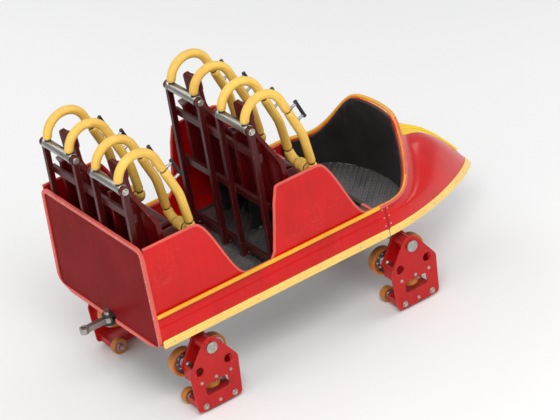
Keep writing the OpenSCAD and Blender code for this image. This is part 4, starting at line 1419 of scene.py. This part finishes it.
# Wheels

TREAD_DEPTH = 0.019
RIM_DEPTH = 0.010
DISH_DEPTH = 0.017
BORE_RADIUS = 0.0152
BEARING_RADIUS = 0.028


def dress_wheel(node, axis, bolts):
    """A wheel: cast tread on a dished hub with a ring of bolts and a bearing seal."""
    low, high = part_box(node)
    radius = (high.x - low.x) / 2
    half = (high - low).dot(axis) / 2
    hub = radius - TREAD_DEPTH
    rim = hub - RIM_DEPTH
    dish = half - DISH_DEPTH
    bearing = BEARING_RADIUS
    place = facing((low + high) / 2, axis)
    bm = bmesh.new()
    tread = [(hub, -half + 0.008), (hub + 0.004, -half + 0.0045), (radius - 0.008, -half + 0.0032)]
    tread = mirrored(tread + [(radius - 0.0025, -half + 0.0055), (radius, -half + 0.011)])
    spun_into(bm, tread + tread[:1], place, steps=72)
    body = [(BORE_RADIUS, -half), (bearing - 0.002, -half), (bearing, -half + 0.002)]
    body += [(bearing + 0.001, -dish - 0.004), (bearing + 0.006, -dish), (rim - 0.004, -dish)]
    body = mirrored(body + [(rim, -dish - 0.003), (rim + 0.002, -half + 0.006), (hub, -half + 0.006)])
    spun_into(bm, body + body[:1], place, steps=60, index=1)
    ring = (rim + bearing) / 2 + 0.001
    size = min(0.014, (rim - bearing) * 0.48)
    for number in range(bolts):
        for face in (Z_AXIS, -Z_AXIS):
            spot = place @ (level(360 * number / bolts) * ring + face * dish)
            add_head(bm, spot, place.to_3x3() @ face, size, 2)
    slots = ["wheel_tread", "cast_hub", "zinc_bolt"]
    piece(node + "_wheel", bm, NODES[node]["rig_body"], "wheel_tread", slots, [node], 34.0)


# Bolts and welds of the frames

BEAMS = ("chassis_beam_left", "chassis_beam_right", "cross_members")
BRACKETS = ("tow_arm", "coupling_clevis", "dog_bracket")
AXLES = ("axle_front", "axle_rear")
BEAM_HALF = 0.03
MEMBER_HALF = 0.025
SADDLE_HALF = 0.058

# Sizes of the bolts and nuts, and the cones of the guide wheel's flat nut in metres
HINGE_BOLT = 0.034
DOG_BOLT = 0.030
RUN_NUT = 0.036
STOP_NUT = 0.030
PIN_NUT = 0.026
PLATE_BOLT = 0.017
TRIM_BOLT = 0.016
CAP_BOLT = 0.014
GUIDE_NUT = ((0.026, 0.026, 0.003, 24), (0.0235, 0.022, 0.0095, 6))

# How far the bolts of a carrier's plate lie over and under its guide wheel
PLATE_UP = 0.071
PLATE_DOWN = 0.112

# Where a ray down to a carrier's shelf starts, from the guide wheel: clear of the wheel's pin
SHELF_RAY = Vector((0.05, 0, 0.2))

# How far the ends of the pins lie from the middle of what turns on them
SWING_END = 0.039
DOG_END = 0.040
RUN_END = 0.047
STOP_END = 0.040
GUIDE_END = 0.038

# A post with its hinge ear: its outer face beyond the hub, half its width, and its front ahead of the hinge
EAR_REACH = 0.032
POST_HALF = 0.015
POST_FRONT = 0.018

# The shoe at a post's foot: length, half width, thickness, and the bolt's distance from the post
SHOE_LENGTH = 0.05
SHOE_HALF = 0.024
SHOE_THICKNESS = 0.006
SHOE_BOLT = 0.028

# Flanges of the couplings: thickness, and how far out and up from the middle their bolts are
COUPLING_FLANGE = 0.012
CLEVIS_BOLTS = (0.049, 0.022)
ARM_BOLTS = (0.046, 0.0154)

# Spindle caps: radius, the ring of their bolts, and the cone of the grease nipple
CAP_RADIUS = 0.042
CAP_RING = 0.028
NIPPLE = (0.005, 0.0035, 0.004, 12)

# Welds, under a beam's top: lower and upper end of a member's, and the saddle's
WELD_DROPS = (0.070, 0.010, 0.0785)
SADDLE_SIDE = BEAM_HALF + 0.001
MEMBER_BEAD = 0.0035
SADDLE_BEAD = 0.004


def dress_frame_bolts():
    """Bolts on the hinge ears, the feet of the posts, the clevis and the chain dog's bracket."""
    bm = bmesh.new()
    for row, side in CORNERS:
        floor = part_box(f"seat_frame_{row}")[0].z
        hinge = JOINT_PLACES[f"restraint_{row}_{side}_hinge"]
        low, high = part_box(f"restraint_{row}_{side}")
        reach = (high.y - low.y) / 2 + EAR_REACH
        for hand in SIDES.values():
            out = Y_AXIS * hand
            add_head(bm, hinge + out * reach, out, HINGE_BOLT)
            foot = Vector((hinge.x + POST_FRONT, hinge.y + hand * (reach - POST_HALF), floor))
            corner = foot + Vector((SHOE_LENGTH, SHOE_HALF, SHOE_THICKNESS))
            add_block(bm, foot - Y_AXIS * SHOE_HALF, corner, 0.002, 1)
            add_head(bm, foot + Vector((SHOE_BOLT, 0, SHOE_THICKNESS)), Z_AXIS, TRIM_BOLT)
    pin, dog = JOINT_PLACES["drawbar_swing"], JOINT_PLACES["chain_dog_hinge"]
    clevis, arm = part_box("coupling_clevis"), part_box("tow_arm")
    middle = (arm[0].z + arm[1].z) / 2
    flanges = (
        (clevis[1].x - COUPLING_FLANGE, pin.z, -X_AXIS, *CLEVIS_BOLTS),
        (arm[0].x + COUPLING_FLANGE, middle, X_AXIS, *ARM_BOLTS),
    )
    for hand in SIDES.values():
        add_head(bm, pin + Z_AXIS * hand * SWING_END, Z_AXIS * hand, HINGE_BOLT)
        add_head(bm, dog + Y_AXIS * hand * DOG_END, Y_AXIS * hand, DOG_BOLT)
        for lift in (-1, 1):
            for x, z, away, across, up in flanges:
                add_head(bm, Vector((x, hand * across, z + lift * up)), away, TRIM_BOLT)
    piece("frame_bolts", bm, ROOT, "machined_steel", ["zinc_bolt", "seat_frame_paint"])


def dress_axle_caps():
    """Three bolts and a grease nipple on each spindle cap."""
    bm = bmesh.new()
    for node in AXLES:
        low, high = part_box(node)
        for side, face in ((1, high.y), (-1, low.y)):
            out = Y_AXIS * side
            middle = Vector(((low.x + high.x) / 2, face, (low.z + high.z) / 2))
            for turn in (90, 210, 330):
                add_head(bm, middle + level(turn).xzy * CAP_RING, out, CAP_BOLT)
            add_cone(bm, facing(middle, out), *NIPPLE)
    piece("axle_cap_bolts", bm, ROOT, "machined_steel", ["zinc_bolt"])


def dress_carrier_bolts(row, side):
    """Nuts of the wheel pins and bolts of the plates on one carrier."""
    node = f"carrier_{row}_{side}"
    tree = surface_of(node)
    out = Y_AXIS * SIDES[side]
    guide = JOINT_PLACES[f"guide_{row}_{side}_spin"]
    bm = bmesh.new()

    def add_outside(x, z, size):
        fasten(bm, tree, (x, SIDES[side], z), -out, size, BOLT)

    for letter in "ab":
        run = JOINT_PLACES[f"run_wheel_{row}_{side}_{letter}_spin"]
        stop = JOINT_PLACES[f"upstop_{row}_{side}_{letter}_spin"]
        add_outside(run.x, run.z, RUN_NUT)
        add_outside(stop.x, stop.z, STOP_NUT)
        add_outside(run.x, guide.z + PLATE_UP, PLATE_BOLT)
        add_head(bm, run - out * RUN_END, -out, PIN_NUT)
        add_head(bm, stop - out * STOP_END, -out, PIN_NUT)
    add_outside(guide.x, guide.z + PLATE_UP, PLATE_BOLT)
    add_outside(guide.x, guide.z - PLATE_DOWN, PLATE_BOLT)
    shelf = tree.ray_cast(guide + SHELF_RAY, -Z_AXIS)[0]
    add_head(bm, Vector((guide.x, guide.y, shelf.z)), Z_AXIS, 1.0, 0, GUIDE_NUT)
    add_head(bm, guide - Z_AXIS * GUIDE_END, -Z_AXIS, PIN_NUT)
    piece(node + "_bolts", bm, node, "machined_steel", ["zinc_bolt"])


def bead_into(bm, first, last, radius=MEMBER_BEAD):
    """Adds a rippled weld bead between two points."""
    points = resampled([Vector(first), Vector(last)], radius)
    radii = [1.0 + 0.16 * (number % 2) for number in range(len(points))]
    radii[0] = radii[-1] = 0.5
    tube_into(bm, points, radius, radii, roundness=2)


def dress_welds():
    """Weld beads where the cross members and the axle saddles meet the long beams."""
    bm = bmesh.new()
    low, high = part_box("chassis_beam_left")
    place = (low.y + high.y) / 2
    bottom, top, saddle = (high.z - drop for drop in WELD_DROPS)
    ends = sorted({round(vert.co.x, 4) for vert in NODES["cross_members"].data.vertices})
    for side in SIDES.values():
        inner = side * (place - BEAM_HALF)
        for x in ((back + front) / 2 for back, front in zip(ends[::2], ends[1::2])):
            for edge in (x - MEMBER_HALF, x + MEMBER_HALF):
                bead_into(bm, (edge, inner, bottom), (edge, inner, top))
            bead_into(bm, (x - MEMBER_HALF, inner, bottom), (x + MEMBER_HALF, inner, bottom))
        for x in (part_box(node)[0].x + CAP_RADIUS for node in AXLES):
            for edge in (-SADDLE_SIDE, SADDLE_SIDE):
                y = side * place + edge
                bead_into(bm, (x - SADDLE_HALF, y, saddle), (x + SADDLE_HALF, y, saddle), SADDLE_BEAD)
    piece("chassis_welds", bm, ROOT, "chassis_steel")


# Stage

FLOOR_TONE = shade(240, 240, 238)
FLOOR_RADIUS = 60.0
SKY_COLOUR = (0.90, 0.92, 0.95)
SKY_STRENGTH = 0.5
CAMERA_AZIMUTH = math.radians(-30.0)
CAMERA_ELEVATION = math.radians(29.5)
CAMERA_ROLL = math.radians(10.0)
CAMERA_DISTANCE = 22.0
FRAME_SHAPE = 560 / 420
FRAME_FILL = 0.98

# Place, size and power of each lamp, and the point that they look at
LAMPS = {
    "key_lamp": ((-3.0, -6.5, 8.5), 6.0, 640.0),
    "fill_lamp": ((7.0, -2.0, 5.0), 6.0, 190.0),
    "back_lamp": ((-1.0, 7.5, 5.5), 6.0, 190.0),
    "rear_lamp": ((-8.0, -1.5, 4.5), 5.0, 130.0),
}
LAMP_AIM = Vector((0, 0, 0.8))


def make_floor():
    """A wide pale floor."""
    bm = bmesh.new()
    bmesh.ops.create_circle(bm, cap_ends=True, segments=96, radius=FLOOR_RADIUS)
    floor = placed("stage_floor", mesh_of("stage_floor", bm))
    constants = {"Base Color": opaque(FLOOR_TONE), "Roughness": 0.85}
    floor.data.materials.append(new_material("stage_floor", constants)[0])
    floor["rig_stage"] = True


def make_lights():
    """Soft studio light: four rectangular lamps and an even sky."""
    for name, (place, size, power) in LAMPS.items():
        lamp = bpy.data.lights.new(name, "AREA")
        lamp.shape = "RECTANGLE"
        lamp.size = size
        lamp.size_y = size * 0.7
        lamp.energy = power
        holder = placed(name, lamp)
        holder.location = place
        holder.rotation_euler = (LAMP_AIM - Vector(place)).to_track_quat("-Z", "Y").to_euler()
    world = bpy.data.worlds.new("stage_sky")
    world.use_nodes = True
    sky = world.node_tree.nodes["Background"].inputs
    sky["Color"].default_value = opaque(SKY_COLOUR)
    sky["Strength"].default_value = SKY_STRENGTH
    bpy.context.scene.world = world


def make_camera():
    """Camera at the photograph's viewing angle, rolled as the photograph shows the car."""
    level_share = math.cos(CAMERA_ELEVATION)
    ahead = Vector((-math.sin(CAMERA_AZIMUTH), math.cos(CAMERA_AZIMUTH), 0)) * level_share
    ahead.z = -math.sin(CAMERA_ELEVATION)
    camera = bpy.data.cameras.new("camera")
    holder = placed("camera", camera)
    holder.location = sum(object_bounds(), Vector()) / 2 - ahead * CAMERA_DISTANCE
    turn = ahead.to_track_quat("-Z", "Y").to_matrix() @ Matrix.Rotation(-CAMERA_ROLL, 3, "Z")
    corners = [made.matrix_world @ Vector(corner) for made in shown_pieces() for corner in made.bound_box]
    seen = [corner - holder.location for corner in corners]
    aim, widths = ahead, []
    for axis in turn.col[:2]:
        shares = [place.dot(axis) / place.dot(ahead) for place in seen]
        aim = aim + axis * (min(shares) + max(shares)) / 2
        widths.append(max(shares) - min(shares))
    swing = ahead.rotation_difference(aim.normalized()).to_matrix()
    holder.rotation_euler = (swing @ turn).to_euler()
    camera.lens = camera.sensor_width * FRAME_FILL / max(widths[0], widths[1] * FRAME_SHAPE)
    camera.clip_end = 200.0
    bpy.context.scene.camera = holder


# Operators


class COASTER_OT_finishes(bpy.types.Operator):
    """Make every finish of the car"""

    bl_idname = "coaster.finishes"
    bl_label = "Finishes"

    def execute(self, context):
        make_effects()
        FINISH.update(make_finishes(context.scene.coaster_colours))
        return {"FINISHED"}


class COASTER_OT_shells(bpy.types.Operator):
    """Dress the nose, sides, panel, trim and floor"""

    bl_idname = "coaster.shells"
    bl_label = "Body shells"

    def execute(self, context):
        dress_shells(context.scene.coaster_sizes)
        return {"FINISHED"}


class COASTER_OT_frames(bpy.types.Operator):
    """Dress the chassis, seat frames, axles, carriers and couplings"""

    bl_idname = "coaster.frames"
    bl_label = "Frames"

    def execute(self, context):
        edge = context.scene.coaster_sizes.frame_edge
        for node in BEAMS + BRACKETS:
            rounded_node(node, edge, "chassis_steel")
        for row in ROWS:
            rounded_node(f"seat_frame_{row}", edge, "chassis_steel", "seat_frame_paint")
        for node in (*AXLES, "drawbar", "chain_dog"):
            rounded_node(node, edge, "machined_steel")
        for row, side in CORNERS:
            rounded_node(f"carrier_{row}_{side}", edge, "red_frame")
            dress_carrier_bolts(row, side)
        dress_frame_bolts()
        dress_axle_caps()
        dress_welds()
        return {"FINISHED"}


class COASTER_OT_seats(bpy.types.Operator):
    """Build the moulded seats and their pads"""

    bl_idname = "coaster.seats"
    bl_label = "Seats"

    def execute(self, context):
        dress_seats()
        return {"FINISHED"}


class COASTER_OT_restraints(bpy.types.Operator):
    """Build the over-shoulder restraints"""

    bl_idname = "coaster.restraints"
    bl_label = "Restraints"

    def execute(self, context):
        for row, side in CORNERS:
            dress_restraint(row, side, context.scene.coaster_sizes)
        return {"FINISHED"}


class COASTER_OT_wheels(bpy.types.Operator):
    """Build the running, upstop and guide wheels"""

    bl_idname = "coaster.wheels"
    bl_label = "Wheels"

    def execute(self, context):
        for row, side in CORNERS:
            for letter in "ab":
                dress_wheel(f"run_wheel_{row}_{side}_{letter}", Y_AXIS, 8)
                dress_wheel(f"upstop_{row}_{side}_{letter}", Y_AXIS, 4)
            dress_wheel(f"guide_{row}_{side}", Z_AXIS, 4)
        return {"FINISHED"}


class COASTER_OT_stage(bpy.types.Operator):
    """Make the floor, lights and camera"""

    bl_idname = "coaster.stage"
    bl_label = "Stage"

    def execute(self, context):
        make_floor()
        make_lights()
        make_camera()
        context.scene.view_settings.view_transform = "Standard"
        return {"FINISHED"}


class COASTER_PT_panel(bpy.types.Panel):
    """Sizes, colours and steps of the car"""

    bl_idname = "COASTER_PT_panel"
    bl_label = "Coaster Car"
    bl_space_type = "VIEW_3D"
    bl_region_type = "UI"
    bl_category = "Coaster Car"

    def draw(self, context):
        for group in (context.scene.coaster_sizes, context.scene.coaster_colours):
            for name in group.__annotations__:
                self.layout.prop(group, name)
        for step in STEPS:
            self.layout.operator(step.bl_idname)


STEPS = (
    COASTER_OT_finishes,
    COASTER_OT_shells,
    COASTER_OT_frames,
    COASTER_OT_seats,
    COASTER_OT_restraints,
    COASTER_OT_wheels,
    COASTER_OT_stage,
)
CLASSES = (CoasterCarSizes, CoasterCarColours, *STEPS, COASTER_PT_panel)


def register():
    """Registers the classes and their settings."""
    for cls in CLASSES:
        bpy.utils.register_class(cls)
    bpy.types.Scene.coaster_sizes = PointerProperty(type=CoasterCarSizes)
    bpy.types.Scene.coaster_colours = PointerProperty(type=CoasterCarColours)


def unregister():
    """Removes the classes and their settings."""
    del bpy.types.Scene.coaster_colours
    del bpy.types.Scene.coaster_sizes
    for cls in reversed(CLASSES):
        bpy.utils.unregister_class(cls)


def main():
    """Builds everything in order."""
    register()
    bpy.ops.coaster.finishes()
    bpy.ops.coaster.shells()
    bpy.ops.coaster.frames()
    bpy.ops.coaster.seats()
    bpy.ops.coaster.restraints()
    bpy.ops.coaster.wheels()
    bpy.ops.coaster.stage()


if __name__ == "__main__":
    main()
